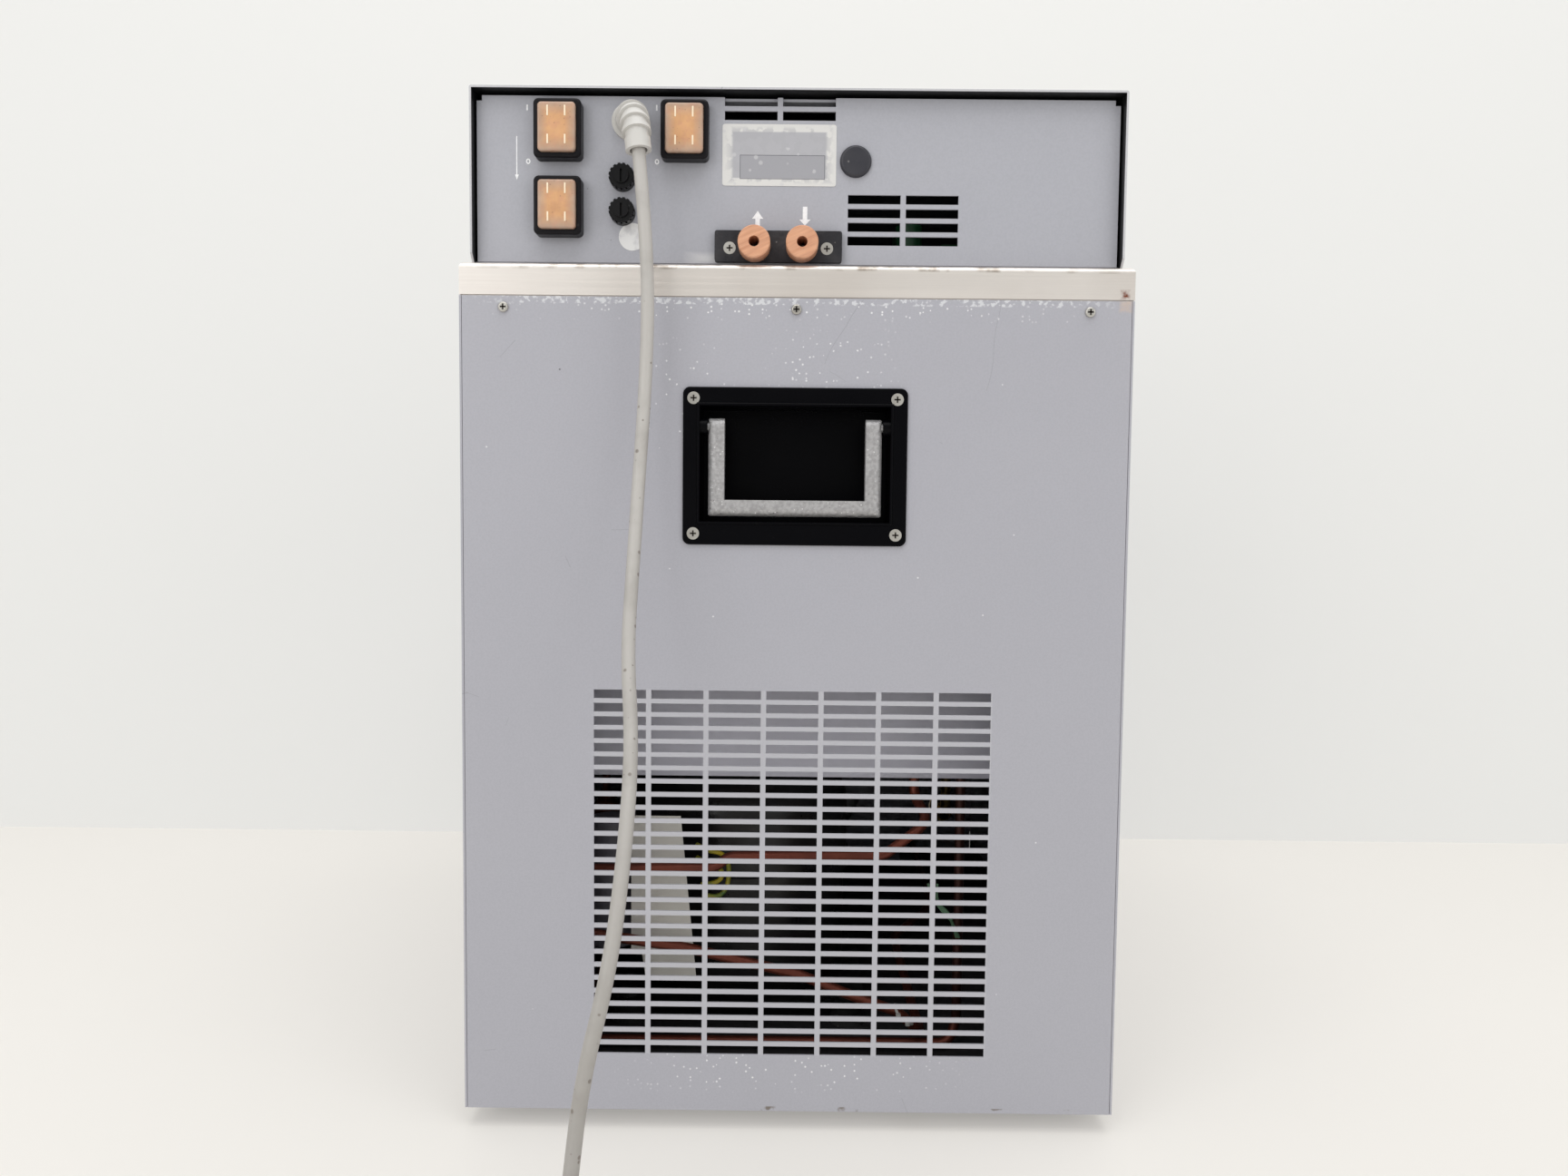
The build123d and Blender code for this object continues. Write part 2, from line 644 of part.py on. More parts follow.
def make_bath_deck():
    """The stainless rim and deck: rounded edges, a skirt, and a lap set back behind the panels."""
    x, y = (-HALF_WIDTH, HALF_WIDTH), (REAR, FRONT)
    outer = block(x, y, (SEAM_Z, DECK_Z))
    outer = fillet(outer.edges().group_by(Axis.Z)[-1], RIM_ROUND)
    inside = block(grow(x, -RIM_SHEET), grow(y, -RIM_SHEET), (SEAM_Z - 1, DECK_UNDER))
    lap_out = block(grow(x, -SHEET - SHEET_GAP / 3), grow(y, -SHEET - SHEET_GAP / 3),
                    (SEAM_Z - RIM_LAP, SEAM_Z + RIM_SHEET))
    lap_in = block(grow(x, -2 * RIM_SHEET), grow(y, -2 * RIM_SHEET),
                   (SEAM_Z - RIM_LAP - 1, SEAM_Z + RIM_SHEET + 1))
    deck = outer - inside + (lap_out - lap_in)
    deck -= rounded(TUB_X, TUB_Y, grow((DECK_UNDER, DECK_Z), 1), Axis.Z, TUB_ROUND)
    for place in (-1, 0, 1):
        bore = SCREW_RADIUS + SCREW_PLAY
        for face in (REAR, FRONT):
            deck -= pin_y(place * TOP_SCREW_SPACING, about(face, 12), TOP_SCREW_Z, bore)
    return deck


def make_bath_tub():
    """A welded tub with rounded upright corners and a flange under the deck."""
    z = (TUB_FLOOR, DECK_UNDER)
    wall = TUB_SHEET
    shell = rounded(grow(TUB_X, wall), grow(TUB_Y, wall), (TUB_FLOOR - wall, DECK_UNDER),
                    Axis.Z, TUB_ROUND + wall)
    flange = block(grow(TUB_X, TUB_FLANGE), grow(TUB_Y, TUB_FLANGE), (TUB_RIM_Z, DECK_UNDER))
    return shell + flange - rounded(TUB_X, TUB_Y, (z[0], z[1] + 1), Axis.Z, TUB_ROUND)


def make_tank_casing():
    """The sheet box that holds the foam; its back and lower edge show through the grille."""
    outer = block(CASING_X, CASING_Y, (CASING_FLOOR, DECK_UNDER))
    inner = block(grow(CASING_X, -CASING_SHEET), grow(CASING_Y, -CASING_SHEET),
                  (CASING_FLOOR + CASING_SHEET, DECK_UNDER + 1))
    return outer - inner


def make_foam():
    """Moulded foam between the casing and the tub, hollowed for the evaporator."""
    top = TUB_RIM_Z
    body = block(grow(CASING_X, -CASING_SHEET), grow(CASING_Y, -CASING_SHEET),
                 (CASING_FLOOR + CASING_SHEET, top))
    room = block(grow(TUB_X, TUB_SHEET + COIL_ROOM), grow(TUB_Y, TUB_SHEET + COIL_ROOM),
                 (TUB_FLOOR - TUB_SHEET, top + 1))
    return body - room


def make_evaporator():
    """Two square turns of copper tube round the tub, in the foam's hollow."""
    out_x = TUB_X[1] + TUB_SHEET + COIL_ROOM / 2
    low_y, high_y = grow(TUB_Y, TUB_SHEET + COIL_ROOM / 2)
    z = TUB_FLOOR + EVAPORATOR_LOW
    points = [(out_x, (low_y + high_y) / 2, z)]
    for turn in range(2):
        level = z + turn * EVAPORATOR_PITCH
        points += [(out_x, high_y, level), (-out_x, high_y, level + EVAPORATOR_PITCH / 4),
                   (-out_x, low_y, level + EVAPORATOR_PITCH / 2),
                   (out_x, low_y, level + 3 * EVAPORATOR_PITCH / 4)]
    points.append((out_x, (low_y + high_y) / 2, z + 2 * EVAPORATOR_PITCH))
    return bent_tube(points, EVAPORATOR_RADIUS, TUB_ROUND + EVAPORATOR_RADIUS)


def lid_spans():
    back = HEAD_FRONT + FASCIA_REACH + 2 * SHEET_GAP
    return grow(TUB_X, LID_OVERLAP), (back, TUB_Y[1] + LID_OVERLAP)


def make_bath_lid():
    """A pressed stainless lid: a flat border on the deck and a raised panel with sloped sides."""
    x, y = lid_spans()
    border = rounded(x, y, (DECK_Z, DECK_Z + LID_SHEET), Axis.Z, TUB_ROUND)
    centre = Pos(0, sum(y) / 2, DECK_Z)
    width = x[1] - x[0] - 2 * LID_BORDER
    length = y[1] - y[0] - 2 * LID_BORDER
    outer = centre * extrude(RectangleRounded(width, length, TUB_ROUND), LID_RAISE, taper=30)
    thin = 2 * LID_SHEET
    hollow = extrude(RectangleRounded(width - thin, length - thin, TUB_ROUND - LID_SHEET),
                     LID_RAISE - LID_SHEET, taper=30)
    return border + outer - centre * hollow


def make_lid_knob():
    """A turned knob with a waist, standing on the lid's raised panel."""
    base = DECK_Z + LID_RAISE
    waist = KNOB_RADIUS * 0.45
    with BuildSketch(Plane.XZ) as profile:
        with BuildLine():
            Polyline((0, 0), (KNOB_RADIUS * 0.7, 0), (waist, KNOB_HEIGHT * 0.3),
                     (waist, KNOB_HEIGHT * 0.5), (KNOB_RADIUS, KNOB_HEIGHT * 0.7),
                     (KNOB_RADIUS, KNOB_HEIGHT), (0, KNOB_HEIGHT), (0, 0))
        make_face()
    knob = revolve(profile.sketch, Axis.Z)
    knob = fillet(knob.edges().sort_by(Axis.Z)[-1], KNOB_HEIGHT * 0.22)
    return Pos(0, sum(lid_spans()[1]) / 2, base) * knob


# Drain

def make_drain_valve():
    """The brass drain cock, its barbed spout and its copper pipe up to the tub's casing."""
    outside = FRONT + DRAIN_REACH
    body = pin_y(DRAIN_X, (FRONT - DRAIN_BODY_INSIDE, FRONT + DRAIN_BODY_PROUD), DRAIN_Z,
                 DRAIN_BODY_RADIUS)
    spout = pin_y(DRAIN_X, (FRONT + DRAIN_BODY_PROUD - 2, outside), DRAIN_Z, DRAIN_BARB_RADIUS - 1)
    valve = body + spout
    for barb in (1, 2):
        y = outside - 5.5 * barb
        ridge = Cone(DRAIN_BARB_RADIUS, DRAIN_BARB_RADIUS - 1.2, 4)
        valve += Pos(DRAIN_X, y + 2, DRAIN_Z) * Rot(-90, 0, 0) * ridge
    back = FRONT - DRAIN_BODY_INSIDE
    pipe = bent_tube([(DRAIN_X, back + 2, DRAIN_Z), (DRAIN_X, back - DRAIN_RUN, DRAIN_Z),
                      (DRAIN_X, back - DRAIN_RUN, CASING_FLOOR)], DRAIN_PIPE_RADIUS, PIPE_BEND)
    valve += pipe
    valve -= pin_y(DRAIN_X, (FRONT - 10, outside + 1), DRAIN_Z, DRAIN_BORE_RADIUS)
    stem_room = DRAIN_STEM_RADIUS + RUNNING_FIT
    stem_z = (DRAIN_Z + DRAIN_BODY_RADIUS - DRAIN_STEM_BITE, DRAIN_Z + DRAIN_BODY_RADIUS + 1)
    return valve - post(DRAIN_X, FRONT + DRAIN_STEM_PROUD, stem_z, stem_room)


def make_drain_tap():
    """A one-sided lever on a stem that turns in the drain cock."""
    y = FRONT + DRAIN_STEM_PROUD
    low = DRAIN_Z + DRAIN_BODY_RADIUS + SHEET_GAP
    stem = post(DRAIN_X, y, (low - DRAIN_STEM_BITE, low + 1), DRAIN_STEM_RADIUS)
    lever = rounded((DRAIN_X - TAP_WIDTH / 2, DRAIN_X + TAP_LENGTH), about(y, TAP_WIDTH),
                    (low, low + TAP_HEIGHT), Axis.Z, TAP_WIDTH / 2 - 0.2)
    return stem + lever


# Refrigeration

def compressor_centre():
    return COMPRESSOR_PLACE[0], REAR + COMPRESSOR_PLACE[1]


def mount_places():
    x, y = compressor_centre()
    return [(x + a * MOUNT_SPREAD[0], y + b * MOUNT_SPREAD[1]) for a in (-1, 1) for b in (-1, 1)]


def make_compressor():
    """A welded steel shell: a drawn pot, a seam, a domed top, and a foot plate."""
    x, y = compressor_centre()
    base = PAN_TOP + MOUNT_HEIGHT
    height = COMPRESSOR_TOP - base
    seam = height * 0.55
    r = COMPRESSOR_RADIUS
    upper, lower = r - SHELL_STEP, r - 2 * SHELL_STEP
    brow = upper / 3
    crown = height - SHELL_CROWN
    with BuildSketch(Plane.XZ) as profile:
        with BuildLine():
            Polyline((0, 0), (r * 0.8, 0), (lower, height * 0.12), (lower, seam - 4),
                     (r, seam - 4), (r, seam + 4), (upper, seam + 4), (upper, crown),
                     (brow, height), (0, height), (0, 0))
        make_face()
    shell = revolve(profile.sketch, Axis.Z)
    brow_edge = shell.edges().filter_by(GeomType.CIRCLE).group_by(Axis.Z)[-2]
    shell = Pos(x, y, base) * fillet(brow_edge, SHELL_SHOULDER)
    plate_x = about(x, 2 * MOUNT_SPREAD[0] + 24)
    plate_y = about(y, 2 * MOUNT_SPREAD[1] + 24)
    plate = rounded(plate_x, plate_y, (base, base + COMPRESSOR_PLATE), Axis.Z, 12)
    for a, b in mount_places():
        plate -= post(a, b, grow((base, base + COMPRESSOR_PLATE), 1), MOUNT_RADIUS / 2)
    return shell + plate


def make_compressor_mounts():
    """Waisted rubber mounts with a steel-capped peg up through the foot plate."""
    mounts = []
    for x, y in mount_places():
        half = MOUNT_HEIGHT / 2
        lower = Pos(x, y, PAN_TOP + half / 2) * Cone(MOUNT_RADIUS, MOUNT_RADIUS - 3, half)
        upper = Pos(x, y, PAN_TOP + 1.5 * half) * Cone(MOUNT_RADIUS - 3, MOUNT_RADIUS, half)
        peg_top = PAN_TOP + MOUNT_HEIGHT + COMPRESSOR_PLATE + 3
        mounts.append(lower + upper + post(x, y, (PAN_TOP + half, peg_top), MOUNT_RADIUS / 2 - 0.3))
    return mounts


def make_relay_box():
    """The moulded terminal cover: drafted sides, a stepped foot, and a back that fits the shell."""
    x, z = RELAY_X, RELAY_Z
    wide, tall = x[1] - x[0], z[1] - z[0]
    face = Plane(origin=(sum(x) / 2, REAR + RELAY_SETBACK + RELAY_DEPTH, sum(z) / 2),
                 x_dir=(1, 0, 0), z_dir=(0, -1, 0))
    cover = extrude(face * RectangleRounded(wide, tall, 4), RELAY_DEPTH, taper=RELAY_DRAFT)
    foot = block((x[1] - wide * 0.3, x[1] + 1), (REAR, REAR + RELAY_SETBACK + RELAY_DEPTH + 1),
                 (z[0] - 1, z[0] + tall * 0.2))
    centre_x, centre_y = compressor_centre()
    shell = post(centre_x, centre_y, (z[0] - 2, z[1] + 2), COMPRESSOR_RADIUS + SHEET_GAP)
    return cover - foot - shell


def make_start_capacitor():
    """A round capacitor strapped to the drafted side of the relay box."""
    behind = RELAY_SETBACK + RELAY_DEPTH - CAPACITOR_SETBACK
    relay_side = RELAY_X[0] + behind * tan(radians(RELAY_DRAFT))
    x = relay_side - SHEET_GAP - CAPACITOR_RADIUS
    can = post(x, REAR + CAPACITOR_SETBACK, CAPACITOR_Z, CAPACITOR_RADIUS)
    return fillet(can.edges().filter_by(GeomType.CIRCLE), 1.5)


def at_depth(points):
    """Turn (x, distance behind the rear face, z) into points of the model."""
    return [(x, REAR + back, z) for x, back, z in points]


def make_suction_pipe():
    """From the shell's left side across in front of the relay box, then up into the casing."""
    x, deep = COMPRESSOR_PLACE
    left = x - COMPRESSOR_RADIUS + SHELL_STEP - PIPE_GAP
    route = [(left, deep, 136), (-142, deep, 136), (-142, 43, 142), (-47, 43, 144),
             (-38, 43, 151), (58, 43, 153), (86, 52, 172), (79, RISER_DEPTH, 183),
             (79, RISER_DEPTH, CASING_FLOOR)]
    return bent_tube(at_depth(route), PIPE_RADIUS, PIPE_BEND)


def make_discharge_pipe():
    """From the shell's left side down across the relay box, along the pan, to the condenser."""
    x, deep = COMPRESSOR_PLACE
    left = x - COMPRESSOR_RADIUS + 2 * SHELL_STEP - PIPE_GAP
    plate = CONDENSER_WIDTH / 2 + CONDENSER_PLATE + PIPE_GAP
    end = DEPTH - CONDENSER_SETBACK - CONDENSER_DEPTH / 2
    route = [(left, deep, 104), (-140, deep, 104), (-140, 46, 103), (-64, 46, 92), (6, 46, 76),
             (36, 46, 64), (68, 48, 52), (80, 52, 40), (84, 66, 33), (84, 110, 30),
             (84, 250, 26), (124, 330, 26), (124, end, 32), (plate, end, 32)]
    return bent_tube(at_depth(route), PIPE_RADIUS, PIPE_BEND)


def make_liquid_lines():
    """From the condenser to the filter drier, and from the drier up into the casing."""
    x, deep = DRIER_PLACE
    plate = CONDENSER_WIDTH / 2 + CONDENSER_PLATE + PIPE_GAP
    end = DEPTH - CONDENSER_SETBACK - CONDENSER_DEPTH / 2
    first = [(-plate, end, 165), (-126, end, 165), (-126, 400, 165), (x, 330, 165),
             (x, deep, 165), (x, deep, DRIER_Z[1])]
    second = [(x, deep, DRIER_Z[0]), (x, deep, 22), (x, 72, 21), (104, 72, 21),
              (109, RISER_DEPTH, 36), (109, RISER_DEPTH, CASING_FLOOR)]
    return [bent_tube(at_depth(route), PIPE_RADIUS, PIPE_BEND) for route in (first, second)]


def make_filter_drier():
    """A spun copper can with tapered ends."""
    x, y = DRIER_PLACE[0], REAR + DRIER_PLACE[1]
    low, high = DRIER_Z
    neck = PIPE_RADIUS + 1
    can = post(x, y, (low + 14, high - 14), DRIER_RADIUS)
    can += Pos(x, y, low + 7) * Cone(neck, DRIER_RADIUS, 14)
    can += Pos(x, y, high - 7) * Cone(DRIER_RADIUS, neck, 14)
    return can


def condenser_span_y():
    front = FRONT - CONDENSER_SETBACK
    return (front - CONDENSER_DEPTH, front)


def make_condenser():
    """The finned block behind the user's grille, between two end plates that stand on the pan."""
    y = condenser_span_y()
    half = CONDENSER_WIDTH / 2
    core = block((-half, half), y, CONDENSER_Z)
    pitch = CONDENSER_WIDTH / CONDENSER_FINS
    for fin in range(CONDENSER_FINS):
        x = -half + FIN_THICKNESS + fin * pitch
        gap = (x, x + pitch - FIN_THICKNESS)
        core -= block(gap, (y[1] - FIN_GROOVE, y[1] + 1), grow(CONDENSER_Z, 1))
    for side in (-1, 1):
        plate = sorted((side * half, side * (half + CONDENSER_PLATE)))
        core += block(plate, y, (PAN_TOP, CONDENSER_Z[1] + 4))
    return core


def fan_centre_z():
    return sum(CONDENSER_Z) / 2


def make_fan_shroud():
    """A folded shroud on the back of the condenser, with the fan's round opening and motor strap."""
    back = condenser_span_y()[0]
    x = about(0, CONDENSER_WIDTH)
    outer = block(x, (back - SHROUD_DEPTH, back), CONDENSER_Z)
    inner = block(grow(x, -SHROUD_SHEET), (back - SHROUD_DEPTH + SHROUD_SHEET, back + 1),
                  grow(CONDENSER_Z, -SHROUD_SHEET))
    opening = pin_y(0, about(back - SHROUD_DEPTH, 8), fan_centre_z(), FAN_OPENING_RADIUS)
    shroud = outer - inner - opening
    strap_y = (back - SHROUD_DEPTH - FAN_DEPTH - 6, back - SHROUD_DEPTH - FAN_DEPTH - 3)
    reach = FAN_OPENING_RADIUS + 12
    z = fan_centre_z()
    shroud += block((-reach, reach), strap_y, about(z, 22))
    for side in (-1, 1):
        leg = sorted((side * (reach - 3), side * reach))
        shroud += block(leg, (strap_y[0], back - SHROUD_DEPTH + 1), about(z, 22))
    return shroud - pin_y(0, grow(strap_y, 1), z, FAN_SHAFT_RADIUS + 4)


def fan_span_y():
    """The fan's depth span: its blades run partly inside the shroud's opening."""
    back = condenser_span_y()[0] - SHROUD_DEPTH
    return (back - FAN_DEPTH + 2, back + 2)


def make_fan_blade():
    """A hub, a shaft and pitched blades."""
    y = fan_span_y()
    z = fan_centre_z()
    fan = pin_y(0, y, z, FAN_HUB_RADIUS)
    fan += pin_y(0, (y[0] - FAN_SHAFT_REACH, y[0] + 1), z, FAN_SHAFT_RADIUS)
    length = FAN_RADIUS - FAN_HUB_RADIUS + 3
    for number in range(FAN_BLADES):
        blade = Rot(0, 0, 32) * Box(26, 1.6, length)
        blade = Pos(0, 0, FAN_HUB_RADIUS - 3 + length / 2) * blade
        fan += Pos(0, sum(y) / 2, z) * Rot(0, number * 360 / FAN_BLADES, 0) * blade
    return fan


def make_fan_motor():
    """A finned motor can on the strap, with a bore for the fan's shaft."""
    strap_back = condenser_span_y()[0] - SHROUD_DEPTH - FAN_DEPTH - 6
    z = fan_centre_z()
    y = (strap_back - FAN_MOTOR_LENGTH, strap_back)
    motor = pin_y(0, y, z, FAN_MOTOR_RADIUS)
    motor = chamfer(motor.edges().sort_by(Axis.Y)[0], 4)
    bore_y = (fan_span_y()[0] - FAN_SHAFT_REACH - 1, strap_back + 1)
    return motor - pin_y(0, bore_y, z, FAN_SHAFT_RADIUS + RUNNING_FIT)


# Control head

def make_head_base():
    """The plate on the deck that carries the pump, heater and pipes, with a hole for each."""
    base = block((-HEAD_INSIDE, HEAD_INSIDE), (FACE_INNER, HEAD_FRONT + FASCIA_REACH),
                 (DECK_Z, HEAD_FLOOR))
    hole_z = grow((DECK_Z, HEAD_FLOOR), 1)
    base -= post(PUMP_X, PUMP_Y, hole_z, PUMP_TUBE_RADIUS + SHEET_GAP)
    for x in PORT_XS:
        base -= post(x, PUMP_Y, hole_z, PUMP_PIPE_RADIUS + SHEET_GAP)
    for x in HEATER_XS:
        base -= post(x, HEATER_Y, hole_z, HEATER_RADIUS + SHEET_GAP)
    return base


def make_head_cover():
    """A thin folded cover: a top and two sides, open front and back, with cut lower corners."""
    half = HEAD_WIDTH / 2
    low = DECK_Z + SEAM_GAP
    with BuildSketch(Plane.YZ) as side:
        with BuildLine():
            Polyline((HEAD_BACK + HEAD_CHAMFER, low), (HEAD_FRONT, low), (HEAD_FRONT, TOP_Z),
                     (HEAD_BACK, TOP_Z), (HEAD_BACK, low + HEAD_CHAMFER),
                     (HEAD_BACK + HEAD_CHAMFER, low))
        make_face()
    whole = extrude(side.sketch, half, both=True)
    inside = block((-HEAD_INSIDE, HEAD_INSIDE), (HEAD_BACK - 1, HEAD_FRONT + 1),
                   (low - 1, TOP_Z - HEAD_SHEET))
    cover = whole - inside
    edges = cover.edges().filter_by(Axis.Y).group_by(Axis.Z)[-1]
    return fillet(edges, HEAD_SHEET * 0.9)


def make_head_rear_panel():
    """The recessed service face, punched for everything it carries, with folds top and bottom."""
    half = HEAD_INSIDE - FACE_SIDE_GAP
    face = block((-half, half), (FACE_Y, FACE_INNER), (HEAD_FLOOR, FACE_TOP))
    face += block((-half, half), (FACE_Y, FACE_Y + FACE_FOLD), (HEAD_FLOOR, HEAD_FLOOR + FACE_SHEET))
    top_fold = (-half + FACE_NOTCH, half - FACE_NOTCH)
    face += block(top_fold, (FACE_Y, FACE_Y + FACE_FOLD), (FACE_TOP - FACE_SHEET, FACE_TOP))
    through = grow((FACE_Y, FACE_INNER), 1)
    for side in (-1, 1):
        corner = sorted((side * (half - FACE_NOTCH), side * (half + 1)))
        face -= block(corner, through, (FACE_TOP - FACE_NOTCH, FACE_TOP + 1))
    for x, z in above_deck(SWITCH_PLACES):
        face -= block(about(x, switch_body_width()), through, about(z, switch_body_height()))
    for x, z in above_deck(FUSE_PLACES):
        face -= pin_y(x, through, z, FUSE_BODY_RADIUS + SCREW_PLAY)
    for place, stem in ((RELIEF_PLACE, RELIEF_STEM), (PLUG_PLACE, PLUG_STEM_RADIUS)):
        x, z = above_deck([place])[0]
        face -= pin_y(x, through, z, stem + SCREW_PLAY)
    for x in PORT_XS:
        face -= pin_y(x, through, PORT_Z, PORT_BUSH_RADIUS - 2)
    for x, z in port_screw_places():
        face -= pin_y(x, through, z, SCREW_RADIUS + SCREW_PLAY)
    return face - vent_cutter(TOP_VENT, TOP_VENT_ROWS) - vent_cutter(LOW_VENT, LOW_VENT_ROWS)


def fascia_profile(offset):
    """The wedge's side outline, moved in by an offset from its sloped and upper faces."""
    foot = HEAD_FRONT + FASCIA_REACH - offset
    brow = HEAD_FRONT + FASCIA_BACK - offset
    top = TOP_Z - offset
    with BuildSketch(Plane.YZ) as side:
        with BuildLine():
            Polyline((HEAD_FRONT, HEAD_FLOOR), (foot, HEAD_FLOOR), (foot, HEAD_FLOOR + 10),
                     (brow, top), (HEAD_FRONT, top), (HEAD_FRONT, HEAD_FLOOR))
        make_face()
    return side.sketch


def make_head_front_panel():
    """The moulded fascia on the user's side: a hollow wedge with a sloped face."""
    half = HEAD_WIDTH / 2
    solid = extrude(fascia_profile(0), half, both=True)
    solid = fillet(solid.edges().filter_by(Axis.X).group_by(Axis.Y)[-1], 2.0)
    hollow = extrude(fascia_profile(FASCIA_WALL), half - FASCIA_WALL, both=True)
    return solid - hollow


def fascia_plane():
    """The plane of the sloped face, at its middle, with its normal pointing out."""
    low = Vector(0, HEAD_FRONT + FASCIA_REACH, HEAD_FLOOR + 10)
    high = Vector(0, HEAD_FRONT + FASCIA_BACK, TOP_Z)
    rise = high - low
    return Plane(origin=(low + high) * 0.5, x_dir=(-1, 0, 0), z_dir=(0, rise.Z, -rise.Y))


def make_display_window():
    """A thin tinted window and membrane keypad in one sheet, on the sloped face."""
    sheet = fascia_plane() * RectangleRounded(WINDOW_WIDTH, WINDOW_HEIGHT, 5)
    return extrude(sheet, WINDOW_SHEET)


# Switches

def switch_body_width():
    return ROCKER_WIDTH + 2 * ROCKER_SIDE_GAP + 2 * SWITCH_BODY_WALL


def switch_body_height():
    return ROCKER_HEIGHT + 5.0 + 2 * SWITCH_BODY_WALL


def pivot_y_of_rocker():
    """The rocker's pivot lies just behind the bezel's inner seat."""
    return FACE_Y - BEZEL_DEPTH + COVER_SEAT + ROCKER_FRONT


def make_switch_frames():
    """Moulded bezels, each with the box behind the panel that holds its rocker's pivot."""
    frames = []
    for x, z in above_deck(SWITCH_PLACES):
        bezel = rounded(about(x, BEZEL_WIDTH), (FACE_Y - BEZEL_DEPTH, FACE_Y),
                        about(z, BEZEL_HEIGHT), Axis.Y, BEZEL_ROUND)
        front = bezel.faces().sort_by(Axis.Y)[0]
        bezel = fillet(front.edges(), BEZEL_EDGE)
        body = block(about(x, switch_body_width() - 0.4), (FACE_Y - 1, FACE_Y + SWITCH_BODY_DEPTH),
                     about(z, switch_body_height() - 0.4))
        mouth_y = (FACE_Y - BEZEL_DEPTH - 1, FACE_Y - BEZEL_DEPTH + COVER_SEAT)
        mouth = rounded(about(x, BEZEL_WIDTH - 2 * BEZEL_RIM), mouth_y,
                        about(z, BEZEL_HEIGHT - 2 * BEZEL_RIM), Axis.Y, COVER_ROUND + COVER_GAP)
        cavity = block(about(x, ROCKER_WIDTH + 2 * ROCKER_SIDE_GAP),
                       (FACE_Y - BEZEL_DEPTH, FACE_Y + SWITCH_BODY_DEPTH - 2),
                       about(z, ROCKER_HEIGHT + 4.6))
        reach = ROCKER_WIDTH / 2 + ROCKER_SIDE_GAP + 1.2
        hole = pin_x(about(x, 2 * reach), pivot_y_of_rocker(), z, ROCKER_PIN_RADIUS + RUNNING_FIT)
        frames.append(bezel + body - mouth - cavity - hole)
    return frames


def make_rocker(place):
    """A rocker with a hollowed two-facet face and a trunnion at each side, tipped to one end."""
    half = ROCKER_HEIGHT / 2
    with BuildSketch(Plane.YZ) as profile:
        with BuildLine():
            Polyline((-ROCKER_FRONT - ROCKER_HORN, half), (-ROCKER_FRONT, 0),
                     (-ROCKER_FRONT - ROCKER_HORN, -half), (0.5, -half + 1.5), (6, -3),
                     (6, 3), (0.5, half - 1.5), (-ROCKER_FRONT - ROCKER_HORN, half))
        make_face()
    rocker = extrude(profile.sketch, ROCKER_WIDTH / 2, both=True)
    pin_reach = ROCKER_WIDTH / 2 + ROCKER_SIDE_GAP + 0.9
    rocker += pin_x((-pin_reach, pin_reach), 0, 0, ROCKER_PIN_RADIUS)
    x, z = place
    return Pos(x, pivot_y_of_rocker(), z) * Rot(ROCKER_TILT, 0, 0) * rocker


def make_splash_covers():
    """Soft clear caps over the rockers, each seated on the ledge inside its bezel."""
    covers = []
    for x, z in above_deck(SWITCH_PLACES):
        width = BEZEL_WIDTH - 2 * BEZEL_RIM - 2 * COVER_GAP
        height = BEZEL_HEIGHT - 2 * BEZEL_RIM - 2 * COVER_GAP
        front = FACE_Y - BEZEL_DEPTH - COVER_PROUD
        seat = FACE_Y - BEZEL_DEPTH + COVER_SEAT
        outer = rounded(about(x, width), (front, seat), about(z, height), Axis.Y, COVER_ROUND)
        outer = fillet(outer.faces().sort_by(Axis.Y)[0].edges(), COVER_EDGE)
        inner = rounded(about(x, width - 2 * COVER_WALL), (front + COVER_WALL, seat + 1),
                        about(z, height - 2 * COVER_WALL), Axis.Y, COVER_ROUND - COVER_WALL)
        covers.append(outer - inner)
    return covers


# Fuses, ports, plug

def make_fuse_holders():
    """Holder bodies behind the panel, each with a thin flange in front and a bore for its cap."""
    holders = []
    for x, z in above_deck(FUSE_PLACES):
        flange = pin_y(x, (FACE_Y - FUSE_FLANGE, FACE_Y), z, FUSE_RADIUS)
        body = pin_y(x, (FACE_Y - 1, FACE_Y + FUSE_BODY_DEPTH), z, FUSE_BODY_RADIUS)
        bore = pin_y(x, (FACE_Y - FUSE_FLANGE - 1, FACE_Y + FUSE_STEM_LENGTH + 1), z,
                     FUSE_STEM_RADIUS + RUNNING_FIT)
        holders.append(flange + body - bore)
    return holders


def make_fuse_cap(place):
    """A ribbed cap with a slotted raised core and a stem in the holder's bore."""
    x, z = place
    back = FACE_Y - FUSE_FLANGE - SHEET_GAP
    front = back - FUSE_CAP_HEIGHT
    ring = pin_y(x, (front + 1.2, back), z, FUSE_RADIUS)
    core = pin_y(x, (front, back), z, FUSE_RADIUS * 0.58)
    cap = ring + core
    for rib in range(FUSE_RIBS):
        turn = radians(rib * 360 / FUSE_RIBS)
        groove_x = x + FUSE_RADIUS * cos(turn)
        groove_z = z + FUSE_RADIUS * sin(turn)
        groove = Pos(groove_x, front + 2.2, groove_z) * Rot(0, -degrees(turn), 0) * Box(1.2, 4, 1.2)
        cap -= groove
    cap -= block(about(x, 1.2), (front - 1, front + 1.6), about(z, FUSE_RADIUS))
    return cap + pin_y(x, (back - 1, FACE_Y + FUSE_STEM_LENGTH), z, FUSE_STEM_RADIUS)


def port_screw_places():
    centre = sum(PORT_XS) / 2
    return [(x, PORT_Z - PORT_SCREW_DROP) for x in about(centre, PORT_SCREW_SPACING)]


